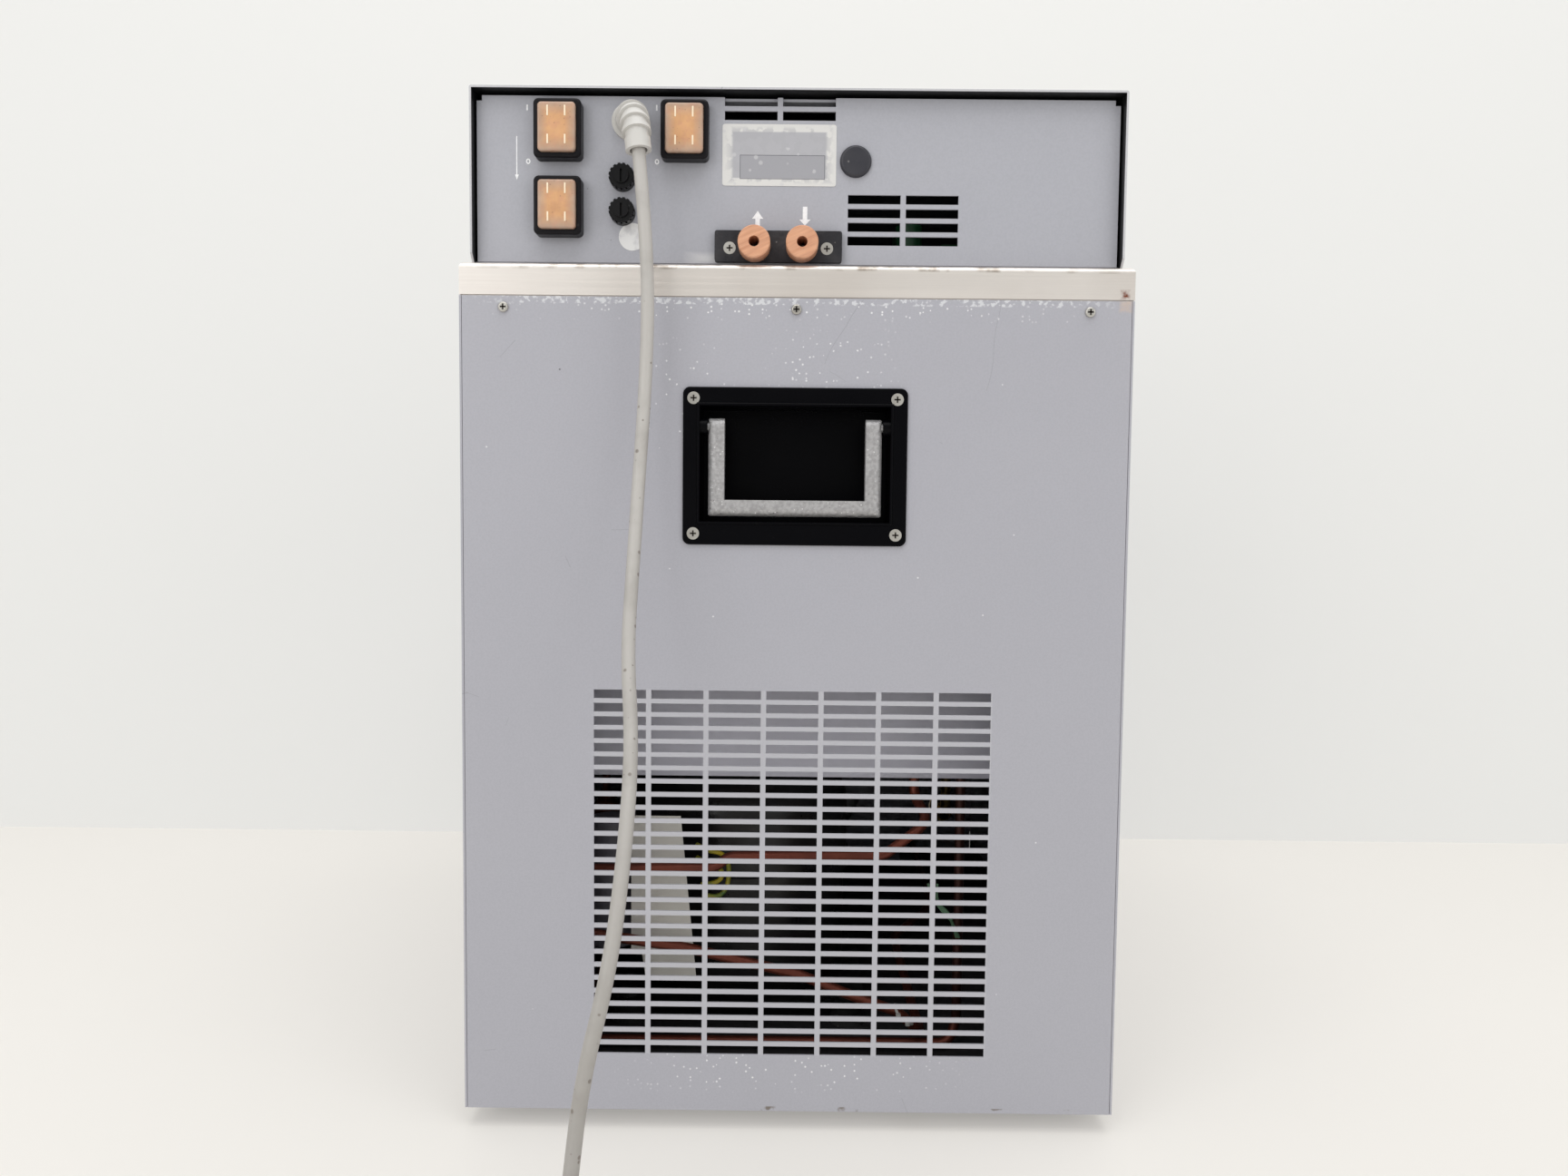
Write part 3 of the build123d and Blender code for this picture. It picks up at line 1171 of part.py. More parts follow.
def make_port_block():
    """The cast black plate that carries both pump ports."""
    x = about(sum(PORT_XS) / 2, PORT_BLOCK_WIDTH)
    plate = rounded(x, (BLOCK_FACE, FACE_Y), about(PORT_Z, PORT_BLOCK_HEIGHT), Axis.Y, 1.5)
    for place in PORT_XS:
        plate -= pin_y(place, grow((BLOCK_FACE, FACE_Y), 1), PORT_Z, PORT_BUSH_RADIUS - 2)
    for place, z in port_screw_places():
        plate -= pin_y(place, grow((BLOCK_FACE, FACE_Y), 1), z, SCREW_RADIUS + SCREW_PLAY)
        plate -= countersink(place, BLOCK_FACE, z, 1)
    return plate


def make_port_bushes():
    """Turned laminated bushes: a thick collar in front of the block and a spigot through it."""
    bushes = []
    for x in PORT_XS:
        collar = pin_y(x, (BUSH_FACE, BLOCK_FACE), PORT_Z, PORT_BUSH_RADIUS)
        collar = chamfer(collar.edges().sort_by(Axis.Y)[0], 0.6)
        spigot = pin_y(x, (BLOCK_FACE - 1, FACE_INNER + 5), PORT_Z, PORT_BUSH_RADIUS - 2.1)
        bore = pin_y(x, (BUSH_FACE - 1, FACE_INNER + 6), PORT_Z, PORT_BORE_RADIUS)
        bushes.append(collar + spigot - bore)
    return bushes


def make_blanking_plug():
    """A domed plastic plug snapped into a spare round hole."""
    x, z = above_deck([PLUG_PLACE])[0]
    cap = pin_y(x, (FACE_Y - 2.6, FACE_Y), z, PLUG_RADIUS)
    cap = fillet(cap.edges().sort_by(Axis.Y)[0], 1.8)
    stem = pin_y(x, (FACE_Y - 1, FACE_INNER + 4), z, PLUG_STEM_RADIUS)
    return cap + stem - pin_y(x, (FACE_Y, FACE_INNER + 5), z, PLUG_STEM_RADIUS - 1.5)


# Strain relief and mains lead

def relief_path():
    """The boot's centre line: straight out of the panel, then bent down and a little across."""
    x, z = above_deck([RELIEF_PLACE])[0]
    reach = FACE_Y - RELIEF_REACH
    first = Vector(x, FACE_Y - RELIEF_BASE_HEIGHT, z)
    corner = Vector(x + RELIEF_SHIFT[0], reach + 3, z - 2)
    last = Vector(x + RELIEF_SHIFT[1], reach, z - RELIEF_FALL)
    run = min((corner - first).length, (last - corner).length)
    turn = (corner - first).get_angle(last - corner)
    return FilletPolyline(first, corner, last, radius=0.8 * run / tan(radians(turn / 2)))


def boot_radius(share):
    return RELIEF_ROOT_RADIUS + (RELIEF_TIP_RADIUS - RELIEF_ROOT_RADIUS) * share


def disc_on(path, share, radius, length):
    """A disc across a path, centred at a share of its length."""
    return Plane(origin=path @ share, z_dir=path % share) * Cylinder(radius, length)


def make_strain_relief():
    """The bent, ribbed boot: a tapering core, ribs square to its line, and an end collar."""
    path = relief_path()
    stations = 8
    sections = []
    for number in range(stations + 1):
        share = number / stations
        plane = Plane(origin=path @ share, z_dir=path % share)
        sections.append(plane * Circle(boot_radius(share)))
    boot = loft(sections)
    x, z = above_deck([RELIEF_PLACE])[0]
    boot += pin_y(x, (FACE_Y - RELIEF_BASE_HEIGHT, FACE_Y), z, RELIEF_BASE_RADIUS)
    boot += pin_y(x, (FACE_Y - 1, FACE_INNER + 6), z, RELIEF_STEM)
    for rib in range(RELIEF_RIBS):
        share = RELIEF_FIRST_RIB + rib * RELIEF_RIB_STEP
        disc = disc_on(path, share, boot_radius(share) + RELIEF_RIB_HEIGHT, RELIEF_RIB_WIDTH)
        boot += disc
    collar = Plane(origin=path @ 1, z_dir=path % 1)
    boot += collar * Pos(0, 0, -RELIEF_COLLAR_LENGTH / 2) * Cylinder(
        RELIEF_COLLAR_RADIUS, RELIEF_COLLAR_LENGTH)
    mouth = Cylinder(CORD_RADIUS + RELIEF_MOUTH_ROOM, RELIEF_MOUTH_DEPTH + 1)
    return boot - collar * Pos(0, 0, (1 - RELIEF_MOUTH_DEPTH) / 2) * mouth


def coil_centre():
    return COIL_PLACE[0], REAR + COIL_PLACE[1]


def coil_meeting():
    """How far ahead of the coil's centre a lead that runs along its outer turn meets it."""
    outer = COIL_MEAN_RADIUS + COIL_HALF_WIDTH
    return sqrt(outer ** 2 - COIL_ENTRY ** 2)


def cord_points():
    """The lead's hand-chosen route, from the boot's mouth to its coil on the ground.

    Its heights were chosen for a mouth at ROUTE_HEIGHT and follow the mouth from there.
    """
    path = relief_path()
    start = path @ 1 - (path % 1) * RELIEF_MOUTH_DEPTH
    route = [(-83.7, -19.5, 530), (-81.0, -19, 482), (-82.5, -19, 432), (-85.2, -25, 382),
             (-86.4, -40, 334), (-87.2, -57, 290), (-80.6, -86, 246), (-79.6, -118, 203),
             (-82.5, -146, 155), (-93.5, -159, 107), (-97.5, -168, 62), (-99.0, -187, 26),
             (-103.0, -222, 5.0), (-104.0, -268, 3.7)]
    points = [(start.X, start.Y, start.Z)]
    lift = (start.Z - CORD_RADIUS) / (ROUTE_HEIGHT - CORD_RADIUS)
    points += [(x, REAR + out, CORD_RADIUS + (z - CORD_RADIUS) * lift) for x, out, z in route]
    x, y = coil_centre()
    points.append((x - COIL_ENTRY, y + coil_meeting(), CORD_RADIUS + 0.05))
    return points


def make_cord_tube():
    points = [Vector(*point) for point in cord_points()]
    radii = []
    for before, corner, after in zip(points, points[1:], points[2:]):
        run = min((corner - before).length, (after - corner).length)
        turn = radians((corner - before).get_angle(after - corner))
        radii.append(0.45 * run / tan(turn / 2))
    path = FilletPolyline(*points, radius=radii)
    tube = sweep(Plane(origin=path @ 0, z_dir=path % 0) * Circle(CORD_RADIUS), path=path)
    print("cord bend radii:", [round(radius, 1) for radius in radii])
    print("cord tube length %.1f, volume share %.4f"
          % (path.length, tube.volume / (pi * CORD_RADIUS ** 2 * path.length)))
    return tube


def make_cord_coil():
    """The put-away turns as one closed ring on the ground."""
    x, y = coil_centre()
    ring = Pos(COIL_MEAN_RADIUS, COIL_HEIGHT / 2) * RectangleRounded(
        2 * COIL_HALF_WIDTH, COIL_HEIGHT, 3.6)
    return Pos(x, y, 0) * revolve(Plane.XZ * ring, Axis.Z)


def mains_plug_start():
    """X and Y where the plug's boot meets the coil's last turn."""
    x, y = coil_centre()
    return x + COIL_ENTRY, y + coil_meeting()


def make_mains_plug():
    """A moulded plug on its side on the ground: a tapered boot, a waisted body and a flat face."""
    x, y = mains_plug_start()
    z = MAINS_PLUG_HEIGHT / 2
    boot = Pos(x, y + MAINS_PLUG_BOOT / 2, z) * Rot(-90, 0, 0) * Cone(
        CORD_RADIUS + 1.2, MAINS_PLUG_HEIGHT / 3, MAINS_PLUG_BOOT)
    body_y = (y + MAINS_PLUG_BOOT - 2, y + MAINS_PLUG_BOOT + MAINS_PLUG_LENGTH)
    body = rounded(about(x, MAINS_PLUG_WIDTH), body_y, (0, MAINS_PLUG_HEIGHT), Axis.Y, 8)
    body = fillet(body.faces().sort_by(Axis.Y)[0].edges(), 6)
    for side in (-1, 1):
        grip_x = x + side * (MAINS_PLUG_WIDTH / 2 + 26)
        body -= post(grip_x, sum(body_y) / 2, (-1, MAINS_PLUG_HEIGHT + 1), 28)
    return boot + body


def make_plug_pins():
    """Two flat blades and a round earth pin."""
    x, y = mains_plug_start()
    face = y + MAINS_PLUG_BOOT + MAINS_PLUG_LENGTH
    z = MAINS_PLUG_HEIGHT / 2
    span = (face, face + PIN_LENGTH)
    blades = [rounded(about(x + side * PIN_SPACING / 2, 1.5), span, about(z + 3, 6.4), Axis.X, 0.1)
              for side in (-1, 1)]
    earth = pin_y(x, (face, face + PIN_LENGTH + 3), z - 6, 2.4)
    earth = fillet(earth.edges().sort_by(Axis.Y)[-1], 2.0)
    return blades + [earth]


# Inside the head

def volute_span_z():
    return (DECK_Z - PUMP_DEPTH - VOLUTE_HEIGHT, DECK_Z - PUMP_DEPTH)


def make_pump_motor():
    """A vented motor can above the pump, with a bore for the shaft."""
    x, y = PUMP_X, PUMP_Y
    low = HEAD_FLOOR + HEAD_BASE_SHEET
    can = post(x, y, (low, low + PUMP_MOTOR_HEIGHT), PUMP_MOTOR_RADIUS)
    can = chamfer(can.edges().sort_by(Axis.Z)[-1], 5)
    return can - post(x, y, (low - 1, low + 21), PUMP_SHAFT_RADIUS + RUNNING_FIT)


def make_pump_housing():
    """The pump's flange on the head plate, its tube into the bath, and the volute at its foot."""
    x, y = PUMP_X, PUMP_Y
    low, high = volute_span_z()
    housing = post(x, y, (HEAD_FLOOR, HEAD_FLOOR + HEAD_BASE_SHEET), 2 * PUMP_TUBE_RADIUS)
    housing += post(x, y, (high - 1, HEAD_FLOOR + 1), PUMP_TUBE_RADIUS)
    housing += post(x, y, (low, high), VOLUTE_RADIUS)
    chamber = (low + VOLUTE_HEIGHT / 8, high - VOLUTE_HEIGHT / 8)
    housing -= post(x, y, chamber, VOLUTE_RADIUS - 4)
    housing -= post(x, y, (high - 4, HEAD_FLOOR + HEAD_BASE_SHEET + 1),
                    PUMP_TUBE_RADIUS - PUMP_TUBE_WALL)
    return housing - post(x, y, (low - 1, low + 5), IMPELLER_RADIUS / 3)


def make_pump_rotor():
    """The shaft, hanging in the motor's bore, and a vaned impeller in the volute."""
    x, y = PUMP_X, PUMP_Y
    middle = sum(volute_span_z()) / 2
    z = about(middle, IMPELLER_HEIGHT)
    top = HEAD_FLOOR + HEAD_BASE_SHEET + 20
    rotor = post(x, y, (z[0], top), PUMP_SHAFT_RADIUS)
    rotor += post(x, y, (z[1] - 2.5, z[1]), IMPELLER_RADIUS)
    for vane in range(IMPELLER_VANES):
        blade = Pos(IMPELLER_RADIUS / 2, 0, 0) * Box(IMPELLER_RADIUS - 1, 2, IMPELLER_HEIGHT)
        rotor += Pos(x, y, middle) * Rot(0, 0, vane * 360 / IMPELLER_VANES) * blade
    return rotor


def make_pump_pipes():
    """Tubes from both port bushes: one to the volute, one open into the bath."""
    start = FACE_INNER + 5
    x, y = PUMP_X, PUMP_Y
    out_x, back_x = PORT_XS
    low = sum(volute_span_z()) / 2
    outlet = [(out_x, start, PORT_Z), (out_x, y, PORT_Z), (out_x, y, low),
              (x + VOLUTE_RADIUS + PIPE_GAP, y, low)]
    inlet = [(back_x, start, PORT_Z), (back_x, y, PORT_Z), (back_x, y, PORT_Z - PUMP_PIPE_DROP)]
    bore = PUMP_PIPE_RADIUS - PUMP_PIPE_WALL
    return [bent_tube(route, PUMP_PIPE_RADIUS, PUMP_PIPE_BEND, bore) for route in (outlet, inlet)]


def make_heater():
    """An immersion heater: one long U of sheathed element under a terminal block."""
    y = HEATER_Y
    left, right = HEATER_XS
    low, high = DECK_Z - HEATER_DEPTH, HEAD_FLOOR + 20
    element = bent_tube([(left, y, high), (left, y, low), (right, y, low), (right, y, high)],
                        HEATER_RADIUS, 2 * PIPE_BEND)
    terminals = rounded((left - 10, right + 10), about(y, 22), (HEAD_FLOOR, HEAD_FLOOR + 9),
                        Axis.Z, 4)
    return element + terminals


def make_circuit_board():
    """The control board on four pillars, with its transformer, relay and capacitors."""
    wide, deep, thick = BOARD_SIZE
    x, y = HEAD_INSIDE - BOARD_SIDE_GAP - wide / 2, REAR + BOARD_SETBACK
    low = HEAD_FLOOR + 8
    board = block(about(x, wide), about(y, deep), (low, low + thick))
    for a in (-1, 1):
        for b in (-1, 1):
            pillar = (x + a * (wide / 2 - 6), y + b * (deep / 2 - 6))
            board += post(*pillar, (HEAD_FLOOR, low + 1), 3)
    top = low + thick
    parts = ((TRANSFORMER_SIZE, TRANSFORMER_PLACE), (BOARD_RELAY_SIZE, BOARD_RELAY_PLACE))
    for (width, length, height), (a, b) in parts:
        board += block(about(x + a, width), about(y + b, length), (top - 0.5, top + height))
    for a, b in BOARD_CAN_PLACES:
        board += post(x + a, y + b, (top - 0.5, top + BOARD_CAN_HEIGHT), BOARD_CAN_RADIUS)
    return board


def export(name, shape):
    """Write one node's solids to parts/NAME.step."""
    pieces = shape if isinstance(shape, list) else [shape]
    solids = [solid for piece in pieces for solid in piece.solids()]
    export_step(Compound(solids) if len(solids) > 1 else solids[0], f"parts/{name}.step")


def build_nodes():
    """Every node's name and solids."""
    nodes = {
        "base_pan": make_base_pan(),
        "feet": make_feet(),
        "rear_panel": make_rear_panel(),
        "front_panel": make_front_panel(),
        "side_panel_left": make_side_panel(-1),
        "side_panel_right": make_side_panel(1),
        "pan_head_screws": make_pan_head_screws(),
        "countersunk_screws": make_countersunk_screws(),
        "bath_deck": make_bath_deck(),
        "bath_tub": make_bath_tub(),
        "tank_casing": make_tank_casing(),
        "foam_insulation": make_foam(),
        "evaporator_coil": make_evaporator(),
        "bath_lid": make_bath_lid(),
        "lid_knob": make_lid_knob(),
        "drain_valve": make_drain_valve(),
        "drain_tap": make_drain_tap(),
        "compressor": make_compressor(),
        "compressor_mounts": make_compressor_mounts(),
        "relay_box": make_relay_box(),
        "start_capacitor": make_start_capacitor(),
        "suction_pipe": make_suction_pipe(),
        "discharge_pipe": make_discharge_pipe(),
        "liquid_lines": make_liquid_lines(),
        "filter_drier": make_filter_drier(),
        "condenser": make_condenser(),
        "fan_shroud": make_fan_shroud(),
        "fan_motor": make_fan_motor(),
        "fan_blade": make_fan_blade(),
        "head_base": make_head_base(),
        "head_cover": make_head_cover(),
        "head_rear_panel": make_head_rear_panel(),
        "head_front_panel": make_head_front_panel(),
        "display_window": make_display_window(),
        "switch_frames": make_switch_frames(),
        "splash_covers": make_splash_covers(),
        "fuse_holders": make_fuse_holders(),
        "port_block": make_port_block(),
        "port_bushes": make_port_bushes(),
        "blanking_plug": make_blanking_plug(),
        "strain_relief": make_strain_relief(),
        "pump_motor": make_pump_motor(),
        "pump_housing": make_pump_housing(),
        "pump_rotor": make_pump_rotor(),
        "pump_pipes": make_pump_pipes(),
        "heater": make_heater(),
        "circuit_board": make_circuit_board(),
        "cord_tube": make_cord_tube(),
        "cord_coil": make_cord_coil(),
        "mains_plug": make_mains_plug(),
        "plug_pins": make_plug_pins(),
    }
    for end, face, side in (("rear", REAR, 1), ("front", FRONT, -1)):
        nodes[f"{end}_handle_tray"] = make_handle_tray(face, side)
        nodes[f"{end}_handle_bail"] = make_bail(face, side)
    for number, place in enumerate(above_deck(SWITCH_PLACES), 1):
        nodes[f"rocker_{number}"] = make_rocker(place)
    for number, place in enumerate(above_deck(FUSE_PLACES), 1):
        nodes[f"fuse_cap_{number}"] = make_fuse_cap(place)
    return nodes


def main():
    os.makedirs("parts", exist_ok=True)
    for name, shape in build_nodes().items():
        export(name, shape)


main()
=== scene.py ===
# %% [markdown]
# # A refrigerated circulator in Blender
#
# A refrigerated circulator cools a bath of liquid and pumps it round other apparatus. We dress its
# solid model here: each solid gets the finish of its real material, and we add what is too fine or
# too soft for solids, such as printed marks, wires and the mains lead. We look at its service side.

# %% Load the solid model
import math

import bmesh
import bpy
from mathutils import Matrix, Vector


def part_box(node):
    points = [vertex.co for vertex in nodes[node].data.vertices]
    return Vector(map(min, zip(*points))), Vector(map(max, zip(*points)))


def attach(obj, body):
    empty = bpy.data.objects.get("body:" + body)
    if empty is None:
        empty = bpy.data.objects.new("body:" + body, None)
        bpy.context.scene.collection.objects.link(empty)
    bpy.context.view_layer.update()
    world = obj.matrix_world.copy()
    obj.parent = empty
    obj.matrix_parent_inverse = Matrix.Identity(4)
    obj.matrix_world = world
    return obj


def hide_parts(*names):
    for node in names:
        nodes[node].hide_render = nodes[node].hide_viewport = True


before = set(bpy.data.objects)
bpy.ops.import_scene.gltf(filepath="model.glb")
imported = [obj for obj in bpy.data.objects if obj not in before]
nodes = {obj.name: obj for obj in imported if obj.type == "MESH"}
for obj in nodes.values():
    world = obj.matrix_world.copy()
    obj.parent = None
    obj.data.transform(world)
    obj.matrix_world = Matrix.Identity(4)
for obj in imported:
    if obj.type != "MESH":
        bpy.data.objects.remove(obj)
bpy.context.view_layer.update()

# %% [markdown]
# ## Lengths and places
#
# Blender works in metres and a maker thinks in millimetres, so one helper turns a place in
# millimetres into a vector. The faces that we build on are read from the solids' own boxes, which
# keeps every new piece seated even if a solid is moved.

# %% Places on the machine
def mm(x, y, z):
    return Vector((x, y, z)) / 1000


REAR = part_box("rear_panel")[0][1] * 1000
SERVICE_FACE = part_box("head_rear_panel")[0][1] * 1000
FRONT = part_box("front_panel")[1][1] * 1000
SWITCHES = [(-135.6, 577.7), (-135.6, 535.1), (-64.0, 577.7)]
print(f"rear sheet at {REAR:.1f} mm, recessed service face at {SERVICE_FACE:.1f} mm")

# %% [markdown]
# ## The camera
#
# The photograph was taken from close by, a little above the middle of the machine and looking
# slightly down. Its place and turn were found by matching measured edges, so they are plain
# numbers. A long lens from further away would be easier to light but would lose the taper.

# %% Camera
LENS, SENSOR = 27.083, 36.0
CAMERA_PLACE = (-2.9, REAR - 672.1, 363.9)
CAMERA_TURNS = (86.2738, -0.5748, 0.2534)
camera_data = bpy.data.cameras.new("camera")
camera_data.sensor_width = SENSOR
camera_data.lens = LENS
camera_data.clip_start = 0.01
camera = bpy.data.objects.new("camera", camera_data)
camera.location = mm(*CAMERA_PLACE)
camera.rotation_euler = [math.radians(turn) for turn in CAMERA_TURNS]
bpy.context.collection.objects.link(camera)
bpy.context.scene.camera = camera
print("camera stands", round(REAR - CAMERA_PLACE[1]), "mm from the rear sheet")

# %% [markdown]
# ## Modelling helpers
#
# Every new piece is made as by hand: a primitive is added at its size and place, shaped in edit
# mode, and finished. These helpers do what is the same each time. `settle` puts a finished piece's
# place and size into its mesh, so that the object sits at the origin like the solids do.

# %% Helpers for pieces
def deselect():
    if bpy.context.object and bpy.context.object.mode != "OBJECT":
        bpy.ops.object.mode_set(mode="OBJECT")
    bpy.ops.object.select_all(action="DESELECT")


def settle(name):
    """Bake the active object's place into its mesh and name it."""
    piece = bpy.context.object
    bpy.ops.object.transform_apply(location=True, rotation=True, scale=True)
    piece.name = piece.data.name = name
    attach(piece, "root")
    print(name, "has", len(piece.data.polygons), "faces")
    return piece


def join(pieces, name):
    """Join pieces into one object."""
    deselect()
    for piece in pieces:
        piece.select_set(True)
    bpy.context.view_layer.objects.active = pieces[0]
    if len(pieces) > 1:
        bpy.ops.object.join()
    return settle(name)


def bar(low, high, bevel=0.0):
    """A bar between two corners in millimetres, with its edges eased."""
    deselect()
    low, high = mm(*low), mm(*high)
    bpy.ops.mesh.primitive_cube_add(size=1, location=(low + high) / 2, scale=high - low)
    bpy.ops.object.transform_apply(location=False, rotation=False, scale=True)
    if bevel:
        bpy.ops.object.mode_set(mode="EDIT")
        bpy.ops.mesh.select_all(action="SELECT")
        bpy.ops.mesh.bevel(offset=bevel / 1000, segments=2, affect="EDGES")
        bpy.ops.object.mode_set(mode="OBJECT")
    return bpy.context.object

# %% [markdown]
# ## The mains lead
#
# A 7 mm grey flexible lead leaves the moulded boot at the top of the service face, hangs past the
# grille with a few lazy bends and comes away over the bench. A few given points and a smooth
# spline give the slack curve of a real lead; a polyline with rounded corners would look like bent
# wire. The rest of its 2 m is wound in a neat coil that lies out of the camera's view.

# %% Route of the lead
LEAD = 7.3
ROUTE = [
    (-87.39, -298.98, 562.94), (-83.7, -303.0, 530), (-81.0, -302.5, 482), (-82.5, -302.5, 432),
    (-85.2, -308.5, 382), (-86.4, -323.5, 334), (-87.2, -340.5, 290), (-80.6, -369.5, 246),
    (-79.6, -401.5, 203), (-82.5, -429.5, 155), (-93.5, -442.5, 107), (-97.5, -451.5, 62),
    (-99.0, -470.5, 26), (-103.0, -505.5, 5.0), (-104.0, -551.5, 3.7),
]
COIL_X, COIL_Y = -58.0, REAR - 330.0
LAYERS = [(46.9, 3.7), (39.6, 3.7), (32.3, 3.7), (36.0, 10.7), (43.6, 10.7)]
TURN_POINTS = 16
ENTRY_RUN = 22.0
PLUG_AXIS = 12.0

# %% Coil of the lead
turns = len(LAYERS)
coil = []
for step in range(turns * TURN_POINTS + TURN_POINTS // 2 + 1):
    share = step / TURN_POINTS
    ring = min(int(share), turns - 1)
    later = min(ring + 1, turns - 1)
    blend = min(max((share - ring) * 3 - 2, 0), 1)
    radius = LAYERS[ring][0] + (LAYERS[later][0] - LAYERS[ring][0]) * blend
    height = LAYERS[ring][1] + (LAYERS[later][1] - LAYERS[ring][1]) * blend
    turn = math.pi + share * 2 * math.pi
    coil.append((COIL_X + radius * math.cos(turn), COIL_Y + radius * math.sin(turn), height))
entry = (coil[0][0] - 0.2, coil[0][1] + ENTRY_RUN, LAYERS[0][1])
plug_low, plug_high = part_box("mains_plug")
plug_mouth = ((plug_low[0] + plug_high[0]) * 500, plug_low[1] * 1000, PLUG_AXIS)
leave = (plug_mouth[0] + 0.3, plug_mouth[1] - 12.0, PLUG_AXIS - 0.2)
print("points on the coil:", len(coil))

# %% Lead as a smooth curve
IN_THE_PLUG = 3.0
plugged = (plug_mouth[0], plug_mouth[1] + IN_THE_PLUG, PLUG_AXIS)
route = ROUTE + [entry] + coil + [leave, plugged]
lead_data = bpy.data.curves.new("mains_lead", "CURVE")
lead_data.dimensions = "3D"
lead_data.bevel_depth = 1.0
lead_data.bevel_resolution = 7
lead_data.resolution_u = 6
lead_data.use_fill_caps = True
spline = lead_data.splines.new("NURBS")
spline.points.add(len(route) - 1)
for point, place in zip(spline.points, route):
    point.co = (*mm(*place), 1)
    point.radius = LEAD / 2000
spline.order_u = 3
spline.use_endpoint_u = True
lead = bpy.data.objects.new("mains_lead", lead_data)
bpy.context.collection.objects.link(lead)
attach(lead, "root")
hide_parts("cord_tube", "cord_coil")
print("points on the lead:", len(route), "measured length:", round(spline.calc_length(), 3), "m")

# %% [markdown]
# ## Colour and shader helpers
#
# Paint colours are easiest to name as a screen shows them, from 0 to 255, but shaders work in
# linear light, so `screen` converts them. `Finish` keeps one material's shader and its Object
# coordinates together and puts new nodes beside them. Object coordinates stay fixed to the
# machine from every side, which window or camera coordinates wouldn't.

# %% Finish helper
def screen(red, green, blue):
    def linear(value):
        value = value / 255
        return value / 12.92 if value <= 0.04045 else ((value + 0.055) / 1.055) ** 2.4
    return (linear(red), linear(green), linear(blue), 1.0)


class Finish:
    """One material's tree, with short calls for the nodes that most finishes share."""

    def __init__(self, name, colour, roughness=0.5, **sockets):
        self.material = bpy.data.materials.new(name)
        self.material.use_nodes = True
        self.tree = self.material.node_tree
        self.shader = self.tree.nodes["Principled BSDF"]
        self.shader.inputs["Base Color"].default_value = colour
        self.shader.inputs["Roughness"].default_value = roughness
        for socket, value in sockets.items():
            self.shader.inputs[socket.replace("_", " ")].default_value = value
        self.colour = colour
        self.place = self.tree.nodes.new("ShaderNodeTexCoord").outputs["Object"]

    def feed(self, socket, value):
        if isinstance(value, bpy.types.NodeSocket):
            self.tree.links.new(value, socket)
        else:
            socket.default_value = value

    def group(self, name, **values):
        """Place a shared effect with this material's own values."""
        node = self.tree.nodes.new("ShaderNodeGroup")
        node.node_tree = bpy.data.node_groups[name]
        self.feed(node.inputs["Place"], self.place)
        for socket, value in values.items():
            self.feed(node.inputs[socket.replace("_", " ")], value)
        return node.outputs[0]

    def times(self, first, second):
        node = self.tree.nodes.new("ShaderNodeMath")
        node.operation = "MULTIPLY"
        self.feed(node.inputs[0], first)
        self.feed(node.inputs[1], second)
        return node.outputs[0]

    def tint(self, mask, colour):
        """Lay a colour over what is there, where the mask is 1."""
        node = self.tree.nodes.new("ShaderNodeMix")
        node.data_type = "RGBA"
        self.feed(node.inputs[0], mask)
        self.feed(node.inputs[6], self.colour)
        self.feed(node.inputs[7], colour)
        self.colour = node.outputs[2]
        self.tree.links.new(self.colour, self.shader.inputs["Base Color"])
        return self

    def wash(self, effect, share, colour, **values):
        """Tint by a share of a shared effect, placed with its own values."""
        return self.tint(self.times(self.group(effect, **values), share), colour)

    def vary(self, socket, tone, low, high):
        """Drive a shader socket between two values with a tone."""
        node = self.tree.nodes.new("ShaderNodeMapRange")
        self.feed(node.inputs["Value"], tone)
        node.inputs["To Min"].default_value = low
        node.inputs["To Max"].default_value = high
        self.tree.links.new(node.outputs[0], self.shader.inputs[socket])
        return self

    def bump(self, height, distance, strength=1.0):
        """Raise the surface by a height map; later bumps add to earlier ones."""
        node = self.tree.nodes.new("ShaderNodeBump")
        self.feed(node.inputs["Height"], height)
        node.inputs["Distance"].default_value = distance
        node.inputs["Strength"].default_value = strength
        normal = self.shader.inputs["Normal"]
        if normal.is_linked:
            self.tree.links.new(normal.links[0].from_socket, node.inputs["Normal"])
        self.tree.links.new(node.outputs[0], normal)
        return self

    def on(self, *pieces):
        """Give the finish to solids by name, or to new pieces."""
        for piece in pieces:
            mesh = nodes[piece] if isinstance(piece, str) else piece
            mesh.data.materials.clear()
            mesh.data.materials.append(self.material)
            print(self.material.name, "on", mesh.name)
        return self
